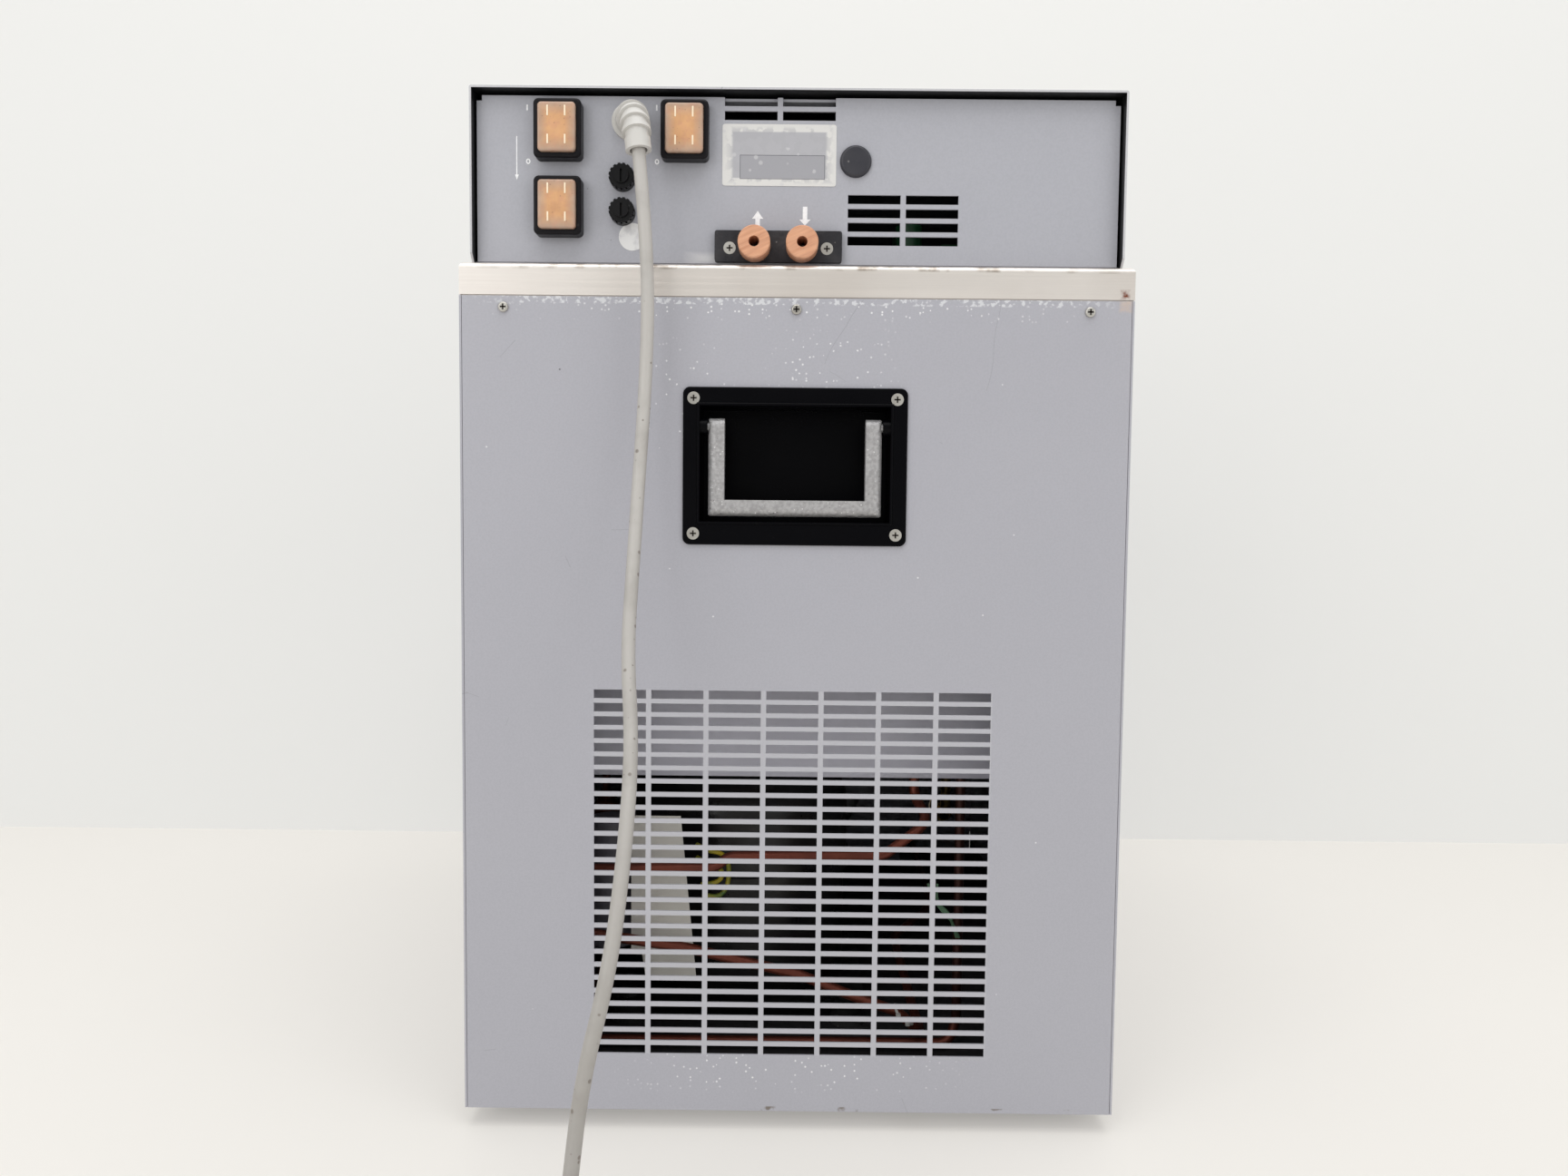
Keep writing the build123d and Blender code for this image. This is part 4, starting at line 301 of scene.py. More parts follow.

# %% [markdown]
# ## Shared effects
#
# Old paint, steel and plastic share a few effects: slow changes of tone, specks, wear and painted
# light and shade that keep to one place, drawn brush lines and fine scratches. Each is built once
# as a node group with named inputs, as a painter keeps a few brushes, and each material sets its
# own values.

# %% Builder for effect groups
class Effect:
    """A shader node group under construction."""

    def __init__(self, name, output, **inputs):
        self.tree = bpy.data.node_groups.new(name, "ShaderNodeTree")
        face = self.tree.interface
        face.new_socket(name="Place", in_out="INPUT", socket_type="NodeSocketVector")
        for socket, value in inputs.items():
            kind = "NodeSocketVector" if isinstance(value, tuple) else "NodeSocketFloat"
            entry = face.new_socket(name=socket.replace("_", " "), in_out="INPUT",
                                    socket_type=kind)
            entry.default_value = value
        face.new_socket(name=output, in_out="OUTPUT", socket_type="NodeSocketFloat")
        self.given = self.tree.nodes.new("NodeGroupInput").outputs
        self.result = self.tree.nodes.new("NodeGroupOutput").inputs[0]

    def node(self, kind, values, **settings):
        """Add a node, set its options, and feed its sockets by name or number."""
        node = self.tree.nodes.new(kind)
        for option, value in settings.items():
            setattr(node, option, value)
        for socket, value in values.items():
            if isinstance(value, bpy.types.NodeSocket):
                self.tree.links.new(value, node.inputs[socket])
            else:
                node.inputs[socket].default_value = value
        return node

    def math(self, operation, *values):
        return self.node("ShaderNodeMath", dict(enumerate(values)), operation=operation).outputs[0]

    def vector(self, operation, *values):
        return self.node("ShaderNodeVectorMath", dict(enumerate(values)),
                         operation=operation).outputs[0]

    def step(self, value, low, high):
        """0 below low, 1 above high, and a ramp between."""
        return self.node("ShaderNodeMapRange", {"Value": value, "From Min": low,
                                                "From Max": high}).outputs[0]

    def give(self, socket):
        self.tree.links.new(socket, self.result)

# %% Mottle: slow changes of tone
mottle = Effect("Mottle", "Tone", Scale=10.0, Low=0.3, High=0.7)
cloud = mottle.node("ShaderNodeTexNoise", {"Vector": mottle.given["Place"],
                                           "Scale": mottle.given["Scale"], "Detail": 4.0})
mottle.give(mottle.step(cloud.outputs[0], mottle.given["Low"], mottle.given["High"]))

# %% Specks: scattered dots of uneven size
specks = Effect("Specks", "Mask", Scale=300.0, Share=0.1, Radius=0.3)
cells = specks.node("ShaderNodeTexVoronoi", {"Vector": specks.given["Place"],
                                             "Scale": specks.given["Scale"]})
chance = specks.node("ShaderNodeSeparateColor", {0: cells.outputs["Color"]})
chosen = specks.math("LESS_THAN", chance.outputs[0], specks.given["Share"])
size = specks.math("MULTIPLY", chance.outputs[1], specks.given["Radius"])
inside = specks.step(cells.outputs["Distance"], size, specks.math("MULTIPLY", size, 0.6))
specks.give(specks.math("MULTIPLY", inside, chosen))

# %% Patch: a soft box that keeps wear, painted light and painted shade to one place
patch = Effect("Patch", "Mask", Centre=(0.0, 0.0, 0.0), Reach=(1.0, 1.0, 1.0), Feather=0.3)
away = patch.vector("SUBTRACT", patch.given["Place"], patch.given["Centre"])
away = patch.vector("DIVIDE", patch.vector("ABSOLUTE", away), patch.given["Reach"])
axes = patch.node("ShaderNodeSeparateXYZ", {0: away}).outputs
far = patch.math("MAXIMUM", patch.math("MAXIMUM", axes[0], axes[1]), axes[2])
patch.give(patch.step(far, 1.0, patch.math("SUBTRACT", 1.0, patch.given["Feather"])))

# %% Brushed: lines drawn along one direction
brushed = Effect("Brushed", "Tone", Stretch=(6.0, 400.0, 400.0))
drawn = brushed.vector("MULTIPLY", brushed.given["Place"], brushed.given["Stretch"])
lines = brushed.node("ShaderNodeTexNoise", {"Vector": drawn, "Scale": 1.0, "Detail": 3.0})
brushed.give(brushed.step(lines.outputs[0], 0.3, 0.7))

# %% Scratches: thin broken lines
scratches = Effect("Scratches", "Mask", Scale=14.0, Width=0.006, Share=0.5)
warp = scratches.node("ShaderNodeTexNoise", {"Vector": scratches.given["Place"], "Scale": 9.0})
moved = scratches.vector("MULTIPLY", warp.outputs["Color"], (0.05, 0.05, 0.05))
moved = scratches.vector("ADD", scratches.given["Place"], moved)
edges = scratches.node("ShaderNodeTexVoronoi", {"Vector": moved,
                                                "Scale": scratches.given["Scale"]},
                       feature="DISTANCE_TO_EDGE")
thin = scratches.math("LESS_THAN", edges.outputs[0], scratches.given["Width"])
gaps = scratches.node("ShaderNodeTexNoise", {"Vector": scratches.given["Place"], "Scale": 22.0})
kept = scratches.math("LESS_THAN", gaps.outputs[0], scratches.given["Share"])
scratches.give(scratches.math("MULTIPLY", thin, kept))
print("effect groups:", [group.name for group in bpy.data.node_groups])

# %% [markdown]
# ## Cabinet paint
#
# The folded panels have a light blue-grey stoved paint with a fine orange-peel texture. In years on
# a bench it has gathered white scale where liquid ran down from the rim, specks round the handle
# and under the grille, a few dark nicks, and chips along the bottom edge. All of this is masks over
# one colour, because a painted panel is one coat whatever has splashed on it.

# %% Splashed paint
def splashed_paint(name, colour):
    """Stoved paint with its texture, tone and a thin scatter of splashes."""
    paint = Finish(name, colour, 0.42)
    paint.wash("Mottle", 0.22, screen(181, 181, 188), Scale=7.0)
    paint.wash("Mottle", 0.1, screen(135, 135, 143), Scale=900.0, Low=0.42, High=0.6)
    paint.wash("Specks", 0.8, screen(224, 224, 226), Scale=240.0, Share=0.01, Radius=0.16)
    paint.wash("Specks", 0.8, screen(88, 86, 90), Scale=75.0, Share=0.02, Radius=0.08)
    paint.wash("Scratches", 0.4, screen(120, 119, 126), Scale=9.0, Width=0.0012, Share=0.38)
    paint.vary("Roughness", paint.group("Mottle", Scale=40.0), 0.38, 0.5)
    paint.bump(paint.group("Mottle", Scale=650.0, Low=0.2, High=0.8), 0.00006, 0.35)
    return paint


# %% Cabinet paint, with paler ribs as painted light and splashed places as (x, z, half width, half height, share)
GRILLE_MIDDLE, GRILLE_REACH = (0.4, 153.3), (114.6, 107.6)
SPLASHES = [(0, 477, 190, 7, 0.2), (20, 448, 42, 20, 0.16), (0, 36, 112, 14, 0.14),
            (-60, 425, 30, 40, 0.07)]
cabinet_paint = splashed_paint("cabinet_paint", screen(172, 172, 180))
# Paler paint over the grille's ribs: painted light.
lit_ribs = cabinet_paint.group("Patch", Centre=mm(GRILLE_MIDDLE[0], REAR, GRILLE_MIDDLE[1]),
                           Reach=mm(GRILLE_REACH[0], 3, GRILLE_REACH[1]), Feather=0.004)
cabinet_paint.tint(cabinet_paint.times(lit_ribs, 0.7), screen(184, 184, 190))
for x, z, wide, tall, share in SPLASHES:
    near = cabinet_paint.group("Patch", Centre=mm(x, REAR, z), Reach=mm(wide, 9, tall),
                               Feather=0.6)
    fine = cabinet_paint.group("Specks", Scale=520.0, Share=share, Radius=0.55)
    cabinet_paint.tint(cabinet_paint.times(near, fine), screen(226, 226, 228))
cabinet_paint.on("rear_panel", "front_panel", "side_panel_left", "side_panel_right")

# %% Scale along the seam, chips along the bottom and a flaked corner
SEAM, FOOT_EDGE = 481.5, 12
FLAKED_CORNER = (185, REAR, 480.5)
seam = cabinet_paint.group("Patch", Centre=mm(0, 0, SEAM), Reach=mm(190, 400, 2.2), Feather=0.2)
crust = cabinet_paint.group("Mottle", Scale=380.0, Low=0.52, High=0.6)
cabinet_paint.tint(cabinet_paint.times(seam, crust), screen(208, 209, 213))
foot = cabinet_paint.group("Patch", Centre=mm(0, 0, FOOT_EDGE), Reach=mm(200, 400, 3.0),
                           Feather=0.2)
chip = cabinet_paint.group("Mottle", Scale=48.0, Low=0.64, High=0.67)
cabinet_paint.tint(cabinet_paint.times(foot, chip), screen(120, 112, 106))
flake = cabinet_paint.group("Patch", Centre=mm(*FLAKED_CORNER), Reach=mm(4.5, 6, 4),
                            Feather=0.5)
cabinet_paint.tint(cabinet_paint.times(flake, cabinet_paint.group("Mottle", Scale=260.0)),
                   screen(196, 178, 166))

# %% [markdown]
# ## Paint on the head
#
# The head's service face has the cabinet's paint, with a white streak beside the port block. Its
# sheet cover has the same paint made paler, as painted light on its outer faces, and its inside is
# painted near-black as painted shade in the gap. A mask by place keeps the paler paint on the outer
# faces, where a second material would need those faces picked out by hand.

# %% Head paint
STREAK = (-52, SERVICE_FACE, 508)
COVER_INSIDE, INSIDE_REACH = (0, 0, 550), (184.3, 600, 50.1)
head_paint = splashed_paint("head_paint", screen(172, 173, 181))
streak = head_paint.group("Patch", Centre=mm(*STREAK), Reach=mm(14, 6, 4), Feather=0.8)
head_paint.tint(head_paint.times(streak, 0.5), screen(222, 222, 222))
head_paint.on("head_rear_panel")
# The cover has the head's paint made paler: painted light on its outer faces.
lit_cover_paint = splashed_paint("lit_cover_paint", screen(200, 200, 203))
# Near-black inside the cover: painted shade in the gap round the service face.
shaded_inside = lit_cover_paint.group("Patch", Centre=mm(*COVER_INSIDE), Reach=mm(*INSIDE_REACH),
                           Feather=0.0004)
lit_cover_paint.tint(shaded_inside, screen(20, 20, 22))
lit_cover_paint.on("head_cover")

# %% [markdown]
# ## Stainless steel
#
# The bath's rim is stainless sheet, polished along its length and then dulled by use. Brush lines
# along the bend, a slow stain and small dark nicks turn a mirror into worn sheet. The tub and lid
# are the same steel, drawn and cleaner.

# %% Stainless sheet
def stainless(name, stretch, stain):
    steel = Finish(name, screen(236, 230, 224), 0.34, Metallic=0.7)
    lines = steel.group("Brushed", Stretch=stretch)
    steel.tint(steel.times(lines, 0.2), screen(204, 197, 190))
    steel.wash("Mottle", stain, screen(190, 179, 169), Scale=9.0, Low=0.45, High=0.75)
    steel.wash("Specks", 0.7, screen(96, 84, 76), Scale=110.0, Share=0.05, Radius=0.16)
    steel.vary("Roughness", lines, 0.3, 0.46)
    steel.bump(lines, 0.00002, 0.4)
    return steel


# %% Steel of the rim, lid and tub, with a drip line and a spot of rust on the rim
DRIP_LINE = (0, REAR, 500.5)
RUST_SPOT = (184.5, REAR, 487)
rim_steel = stainless("rim_steel", (5.0, 500.0, 900.0), 0.4)
drip = rim_steel.group("Patch", Centre=mm(*DRIP_LINE), Reach=mm(200, 6, 2.2), Feather=0.5)
rim_steel.tint(rim_steel.times(drip, rim_steel.group("Mottle", Scale=60.0, Low=0.5, High=0.62)),
               screen(150, 136, 122))
rust = rim_steel.group("Patch", Centre=mm(*RUST_SPOT), Reach=mm(3.2, 5, 3.2), Feather=0.7)
rim_steel.tint(rim_steel.times(rust, rim_steel.group("Mottle", Scale=300.0, Low=0.35, High=0.6)),
               screen(128, 62, 34))
rim_steel.on("bath_deck")
stainless("lid_steel", (400.0, 5.0, 400.0), 0.2).on("bath_lid")
stainless("tub_steel", (300.0, 300.0, 5.0), 0.3).on("bath_tub", "heater")

# %% [markdown]
# ## Black plastics and rubber
#
# Bezels, handle tray, fuse caps, plugs and knobs are moulded black. They differ in gloss and in
# the grain of their moulds, and dust has greyed the ones that face up. A single black would turn
# them into holes, so each has its own roughness, a faint grain and some pale dust.

# %% Black mouldings
def moulded(name, colour, roughness, grain, dust=0.25, shine=0.5):
    plastic = Finish(name, colour, roughness, Specular_IOR_Level=shine)
    specks_of_dust = plastic.group("Specks", Scale=420.0, Share=0.08, Radius=0.4)
    plastic.tint(plastic.times(specks_of_dust, dust), screen(150, 148, 146))
    plastic.wash("Mottle", dust * 0.4, screen(110, 108, 108), Scale=55.0, Low=0.45, High=0.8)
    plastic.vary("Roughness", plastic.group("Mottle", Scale=30.0), roughness - 0.06,
                 roughness + 0.08)
    plastic.bump(plastic.group("Mottle", Scale=grain, Low=0.2, High=0.8), 0.00008, 0.3)
    return plastic


# %% Each black moulding
moulded("bezel_plastic", screen(18, 16, 20), 0.36, 1500.0, 0.06, 0.16).on("switch_frames")
moulded("tray_plastic", screen(3, 3, 6), 0.3, 2200.0, 0.01, 0.07).on(
    "rear_handle_tray", "front_handle_tray")
moulded("fuse_plastic", screen(12, 12, 14), 0.34, 1800.0, 0.06, 0.2).on(
    "fuse_holders", "fuse_cap_1", "fuse_cap_2")
moulded("plug_plastic", screen(44, 44, 52), 0.42, 1200.0, 0.4).on("blanking_plug")
moulded("knob_plastic", screen(24, 24, 26), 0.3, 900.0).on("lid_knob", "drain_tap")
moulded("foot_rubber", screen(30, 30, 30), 0.8, 700.0, 0.5).on("feet", "compressor_mounts")
moulded("fan_plastic", screen(28, 28, 32), 0.5, 800.0).on("fan_blade")
moulded("capacitor_sleeve", screen(98, 96, 104), 0.5, 800.0).on("start_capacitor")
moulded("fascia_plastic", screen(62, 65, 72), 0.5, 1600.0, 0.15).on("head_front_panel")
port_casting = moulded("port_casting", screen(38, 38, 43), 0.62, 420.0, 0.8, 0.3)
port_casting.bump(port_casting.group("Mottle", Scale=260.0), 0.0004, 0.6)
port_casting.on("port_block")

# %% [markdown]
# ## Hammer-finished handles
#
# The bails are cast and sprayed with a silver hammer paint, which pulls into small dimples and
# glints. Over a metallic grey, painted shade in the dimples with a bump from the same pattern, and
# speckles of two sizes, the pale ones painted glints, give it.

# %% Hammer finish
hammer = Finish("hammer_finish", screen(178, 177, 178), 0.4, Metallic=0.35)
dimples_and_shade = hammer.group("Mottle", Scale=520.0, Low=0.38, High=0.62)
# Darker in the dimples: painted shade.
hammer.tint(hammer.times(dimples_and_shade, 0.45), screen(126, 124, 126))
# Pale specks: painted glints.
hammer.tint(hammer.group("Specks", Scale=900.0, Share=0.25, Radius=0.5), screen(232, 232, 232))
hammer.wash("Specks", 0.7, screen(92, 90, 92), Scale=500.0, Share=0.12, Radius=0.4)
hammer.bump(dimples_and_shade, 0.0003, 0.5)
hammer.on("rear_handle_bail", "front_handle_bail")

# %% [markdown]
# ## Switch rockers and their splash covers
#
# Amber rockers sit under soft clear caps that keep liquid out. Age has yellowed the caps and
# filled them with fine dirt, so they look peach and hide the rockers' edges. A cloudy colour that
# is part transparent is closer to that than clear glass.

# %% Amber rockers
amber = Finish("amber_plastic", screen(238, 152, 84), 0.3, Coat_Weight=0.3)
amber.wash("Mottle", 0.4, screen(214, 122, 64), Scale=90.0)
amber.bump(amber.group("Mottle", Scale=700.0), 0.00005, 0.2)
amber.on("rocker_1", "rocker_2", "rocker_3")

# %% Yellowed clear caps
CAP_DEPTH = 11
CAP_REACH = (10.4, 8, 13.2)
cap = Finish("yellowed_cap", screen(200, 172, 152), 0.26, Coat_Weight=0.2)
for x, z in SWITCHES:
    over_rocker = cap.group("Patch", Centre=mm(x, SERVICE_FACE - CAP_DEPTH, z),
                            Reach=mm(*CAP_REACH), Feather=0.55)
    cap.tint(cap.times(over_rocker, 0.85), screen(238, 182, 128))
cap.wash("Mottle", 0.4, screen(216, 158, 132), Scale=260.0, Low=0.45, High=0.68)
cap.wash("Specks", 0.5, screen(132, 100, 84), Scale=900.0, Share=0.12, Radius=0.4)
cap.vary("Alpha", cap.group("Mottle", Scale=120.0), 0.66, 0.84)
cap.bump(cap.group("Mottle", Scale=240.0), 0.0003, 0.3)
cap.on("splash_covers")

# %% [markdown]
# ## Turned port bushes
#
# The pump ports are bushes turned from laminate, a brown-orange board of pressed layers. The
# layers show as slanting stripes on the end faces. A stretched noise makes them, turned by a
# Mapping node so that the stripes lean as they do on the real bushes.

# %% Laminate
laminate = Finish("laminate", screen(222, 164, 128), 0.4, Coat_Weight=0.15)
LAYER_LEAN = math.radians(24)
turned = laminate.tree.nodes.new("ShaderNodeMapping")
turned.inputs["Rotation"].default_value = (0.0, LAYER_LEAN, 0.0)
laminate.tree.links.new(laminate.place, turned.inputs["Vector"])
laminate.place = turned.outputs[0]
layers = laminate.group("Brushed", Stretch=(45.0, 60.0, 520.0))
laminate.tint(laminate.times(layers, 0.7), screen(176, 110, 78))
laminate.wash("Brushed", 0.3, screen(240, 200, 170), Stretch=(60.0, 80.0, 1500.0))
laminate.bump(layers, 0.0001, 0.4)
laminate.on("port_bushes")

# %% [markdown]
# ## Lead, boot and plug
#
# The boot is off-white nylon and the lead is grey PVC. The lead is pale by the boot and darker
# towards the bottom, and speckled with old dirt. A mask that fades with height does the darkening,
# where two materials would meet in a line. The plug is the same PVC with plated pins.

# %% Nylon of the boot
nylon = Finish("boot_nylon", screen(204, 202, 198), 0.45)
nylon.wash("Mottle", 0.5, screen(166, 163, 157), Scale=60.0, Low=0.5, High=0.8)
nylon.bump(nylon.group("Mottle", Scale=500.0), 0.0001, 0.25)
nylon.on("strain_relief")

# %% PVC of the lead and plug
LOW_MIDDLE, LOW_REACH = (0, REAR - 200, 0), (400, 500, 420)
pvc = Finish("lead_pvc", screen(186, 183, 179), 0.48)
# Darker towards the bottom of the lead.
low_part = pvc.group("Patch", Centre=mm(*LOW_MIDDLE), Reach=mm(*LOW_REACH), Feather=0.9)
pvc.tint(pvc.times(low_part, 0.75), screen(150, 146, 141))
pvc.wash("Mottle", 0.35, screen(138, 133, 127), Scale=45.0, Low=0.5, High=0.75)
pvc.wash("Specks", 0.65, screen(98, 86, 76), Scale=300.0, Share=0.2, Radius=0.42)
pvc.vary("Roughness", pvc.group("Mottle", Scale=90.0), 0.4, 0.58)
pvc.bump(pvc.group("Mottle", Scale=380.0), 0.0001, 0.3)
pvc.on(lead, "mains_plug")
plated = Finish("plated_brass", screen(206, 196, 164), 0.28, Metallic=1.0)
plated.wash("Mottle", 0.3, screen(170, 158, 126), Scale=300.0)
plated.on("plug_pins")

# %% [markdown]
# ## What shows through the grille
#
# Behind the slots are a zinc-coated sheet round the tank, the cream cover over the compressor's
# terminals, aged copper pipes and a black compressor. They are lit only through the slots, so one
# recipe for dull, dusty metal serves them all, with a colour, a darker tone and a gloss for each.

# %% Dull metal
def dull_metal(name, colour, dark, roughness, metallic):
    metal = Finish(name, colour, roughness, Metallic=metallic)
    metal.wash("Mottle", 0.5, dark, Scale=38.0)
    metal.wash("Specks", 0.3, dark, Scale=200.0, Share=0.1, Radius=0.4)
    metal.vary("Roughness", metal.group("Mottle", Scale=80.0), roughness - 0.08, roughness + 0.1)
    metal.bump(metal.group("Mottle", Scale=400.0), 0.0001, 0.25)
    return metal

# %% Sheets and copper
RISER_MIDDLE, RISER_REACH = (109, REAR + 76, 120), (6, 8, 90)
dull_metal("zinc_sheet", screen(176, 176, 184), screen(150, 150, 158), 0.5, 0.25).on(
    "head_base", "fan_shroud")
dull_metal("tank_sheet", screen(214, 213, 224), screen(196, 195, 207), 0.6, 0.0).on("tank_casing")
# The base pan is the same zinc as the sheets, made dark: painted shade under the cabinet.
dull_metal("pan_zinc_in_shade", screen(66, 64, 66), screen(46, 44, 46), 0.6, 0.2).on("base_pan")
copper = dull_metal("aged_copper", screen(134, 70, 54), screen(78, 40, 34), 0.42, 0.6)
# The riser is darkened where it stands: painted shade behind the grille's edge.
riser_shade = copper.group("Patch", Centre=mm(*RISER_MIDDLE), Reach=mm(*RISER_REACH), Feather=0.1)
copper.tint(copper.times(riser_shade, 0.85), screen(50, 32, 30))
copper.on("suction_pipe", "discharge_pipe", "liquid_lines", "filter_drier", "evaporator_coil")

# %% Castings, screws and what isn't metal
dull_metal("drain_brass", screen(198, 166, 100), screen(150, 120, 66), 0.34, 0.95).on("drain_valve")
dull_metal("screw_zinc", screen(206, 204, 198), screen(140, 134, 124), 0.35, 0.85).on(
    "pan_head_screws", "countersunk_screws")
dull_metal("condenser_alloy", screen(188, 190, 194), screen(120, 122, 126), 0.4, 0.85).on(
    "condenser")
dull_metal("pump_alloy", screen(176, 178, 180), screen(132, 132, 134), 0.42, 0.8).on(
    "pump_housing", "pump_rotor", "pump_pipes")
dull_metal("compressor_black", screen(24, 24, 27), screen(52, 48, 44), 0.34, 0.1).on(
    "compressor", "fan_motor", "pump_motor")
relay_cream = dull_metal("relay_cream", screen(232, 229, 222), screen(206, 202, 194), 0.55, 0.0)
relay_cream.on("relay_box")
dull_metal("board_green", screen(36, 92, 58), screen(24, 62, 40), 0.45, 0.0).on("circuit_board")
dull_metal("foam_cream", screen(222, 208, 160), screen(200, 184, 136), 0.9, 0.0).on(
    "foam_insulation")

# %% [markdown]
# ## Display window
#
# The user's side has a dark tinted sheet round a red numeric display and three keys. It is almost
# black, and a clear coat over a smooth base gives the gloss of acrylic more simply than real glass.

# %% Tinted window
tint = Finish("tinted_window", screen(16, 15, 19), 0.12, Coat_Weight=0.6, Coat_Roughness=0.05)
tint.wash("Mottle", 0.15, screen(70, 68, 72), Scale=50.0, Low=0.5, High=0.8)
tint.on("display_window")

# %% [markdown]
# ## Printed marks
#
# White screen-printed marks tell the ports and switches apart: broad arrows over the ports, a long
# thin arrow at the left, and an I and a 0 beside the two upper switches. Print is ink a tenth of a
# millimetre thick, so each mark is a flat shape given that thickness, lying on the sheet.

# %% Flat print
INK = 0.12
HALF_RING_STEPS = 12


def outline_mark(corners, face=SERVICE_FACE):
    """A flat mark on a face that looks towards -Y, from its corners (x, z) in millimetres."""
    deselect()
    bpy.ops.mesh.primitive_plane_add(size=0.001, location=mm(0, face, 0))
    mark = bpy.context.object
    bpy.ops.object.mode_set(mode="EDIT")
    shape = bmesh.from_edit_mesh(mark.data)
    bmesh.ops.delete(shape, geom=list(shape.verts), context="VERTS")
    shape.faces.new([shape.verts.new(mm(x, 0, z)) for x, z in corners])
    bmesh.update_edit_mesh(mark.data)
    bpy.ops.mesh.select_all(action="SELECT")
    bpy.ops.mesh.extrude_region_move(TRANSFORM_OT_translate={"value": mm(0, -INK, 0)})
    bpy.ops.mesh.select_all(action="SELECT")
    bpy.ops.mesh.normals_make_consistent(inside=False)
    bpy.ops.object.mode_set(mode="OBJECT")
    return mark


def arrow(x, tail, tip, shaft, head, head_length):
    """An arrow along Z from its tail to its tip."""
    way = 1 if tip > tail else -1
    neck = tip - way * head_length
    corners = [(x - shaft / 2, tail), (x + shaft / 2, tail), (x + shaft / 2, neck),
               (x + head / 2, neck), (x, tip), (x - head / 2, neck), (x - shaft / 2, neck)]
    return outline_mark(corners)


def numeral(x, z, width, height, stroke, face=SERVICE_FACE):
    """A 0 as two half rings, or an I when it has no width."""
    if not width:
        return [outline_mark([(x - stroke / 2, z - height / 2), (x + stroke / 2, z - height / 2),
                              (x + stroke / 2, z + height / 2), (x - stroke / 2, z + height / 2)],
                             face)]
    halves = []
    for side in (-1, 1):
        turns = [math.radians(-90 + 180 * step / HALF_RING_STEPS)
                 for step in range(HALF_RING_STEPS + 1)]
        outer = [(x + side * width / 2 * math.cos(a), z + height / 2 * math.sin(a)) for a in turns]
        inner = [(x + side * (width / 2 - stroke) * math.cos(a),
                  z + (height / 2 - stroke) * math.sin(a)) for a in reversed(turns)]
        halves.append(outline_mark(outer + inner, face))
    return halves

# %% All marks on the service face
BROAD, THIN = (2.6, 6.4), (0.6, 2.2)
ONES, NOUGHTS = [(-154.2, 591.4), (-80.5, 591.8)], [(-153.7, 561.4), (-80.3, 561.8)]
marks = [arrow(-22.65, 525.4, 534.8, *BROAD, 4.4), arrow(4.35, 537.4, 526.8, *BROAD, 3.4),
         arrow(-160.2, 575.4, 551.0, *THIN, 3.0)]
for x, z in ONES:
    marks += numeral(x, z, 0, 3.2, 0.95)
for x, z in NOUGHTS:
    marks += numeral(x, z, 2.6, 3.1, 0.75)
print_marks = join(marks, "printed_marks")
ink = Finish("white_ink", screen(246, 246, 248), 0.5)
ink.wash("Mottle", 0.25, screen(204, 204, 210), Scale=700.0, Low=0.5, High=0.62)
ink.on(print_marks)

# %% [markdown]
# ## Plate and sticker
#
# A worn blank rating plate and a blank round sticker are stuck on the service face. The plate is
# thin foil with rounded corners: a silver-white border that has lost its coat in flakes, a grey
# field and a thin ruled box. Masks draw them on one flat piece, as print would, where separate
# pieces would stand up from the foil.

# %% Foil plate
PLATE_LOW, PLATE_HIGH = (-43.0, 548.8), (21.8, 583.2)
FOIL, FOIL_CORNER = 0.3, 1.4
plate = bar((PLATE_LOW[0], SERVICE_FACE - FOIL, PLATE_LOW[1]),
            (PLATE_HIGH[0], SERVICE_FACE, PLATE_HIGH[1]))
bpy.ops.object.mode_set(mode="EDIT")
bpy.ops.mesh.select_mode(type="EDGE")
bpy.ops.mesh.select_all(action="DESELECT")
shape = bmesh.from_edit_mesh(plate.data)
for edge in shape.edges:
    across = edge.verts[0].co - edge.verts[1].co
    edge.select_set(abs(across.y) > 1e-5 and abs(across.x) + abs(across.z) < 1e-5)
bmesh.update_edit_mesh(plate.data)
bpy.ops.mesh.bevel(offset=FOIL_CORNER / 1000, segments=4, affect="EDGES")
bpy.ops.object.mode_set(mode="OBJECT")
plate = settle("rating_plate")

# %% Worn foil with its field and ruled box
FIELD, FLAKED = (27.5, 6, 13.2), (31.5, 6, 16.3)
RULED_BOX, RULE_OUTSIDE, RULE_INSIDE = (-8.8, SERVICE_FACE, 559.3), (24.3, 6, 6.8), (23.9, 6, 6.4)
middle = mm((PLATE_LOW[0] + PLATE_HIGH[0]) / 2, SERVICE_FACE, (PLATE_LOW[1] + PLATE_HIGH[1]) / 2)
foil = Finish("foil", screen(222, 221, 219), 0.36, Metallic=0.1)
worn = foil.group("Mottle", Scale=190.0, Low=0.5, High=0.56)
field = foil.group("Patch", Centre=middle, Reach=mm(*FIELD), Feather=0.05)
foil.tint(foil.times(field, 0.92), screen(176, 176, 182))
rim_wear = foil.group("Patch", Centre=middle, Reach=mm(*FLAKED), Feather=0.14)
foil.tint(foil.times(foil.times(rim_wear, worn), 0.55), screen(176, 176, 181))
rule = foil.group("Patch", Centre=mm(*RULED_BOX), Reach=mm(*RULE_OUTSIDE), Feather=0.002)
foil.tint(foil.times(rule, 0.75), screen(84, 84, 90))
foil.tint(foil.group("Patch", Centre=mm(*RULED_BOX), Reach=mm(*RULE_INSIDE), Feather=0.002),
          screen(164, 164, 170))
foil.wash("Specks", 0.55, screen(208, 208, 210), Scale=330.0, Share=0.12, Radius=0.5)
foil.bump(worn, 0.00008, 0.4)
foil.on(plate)

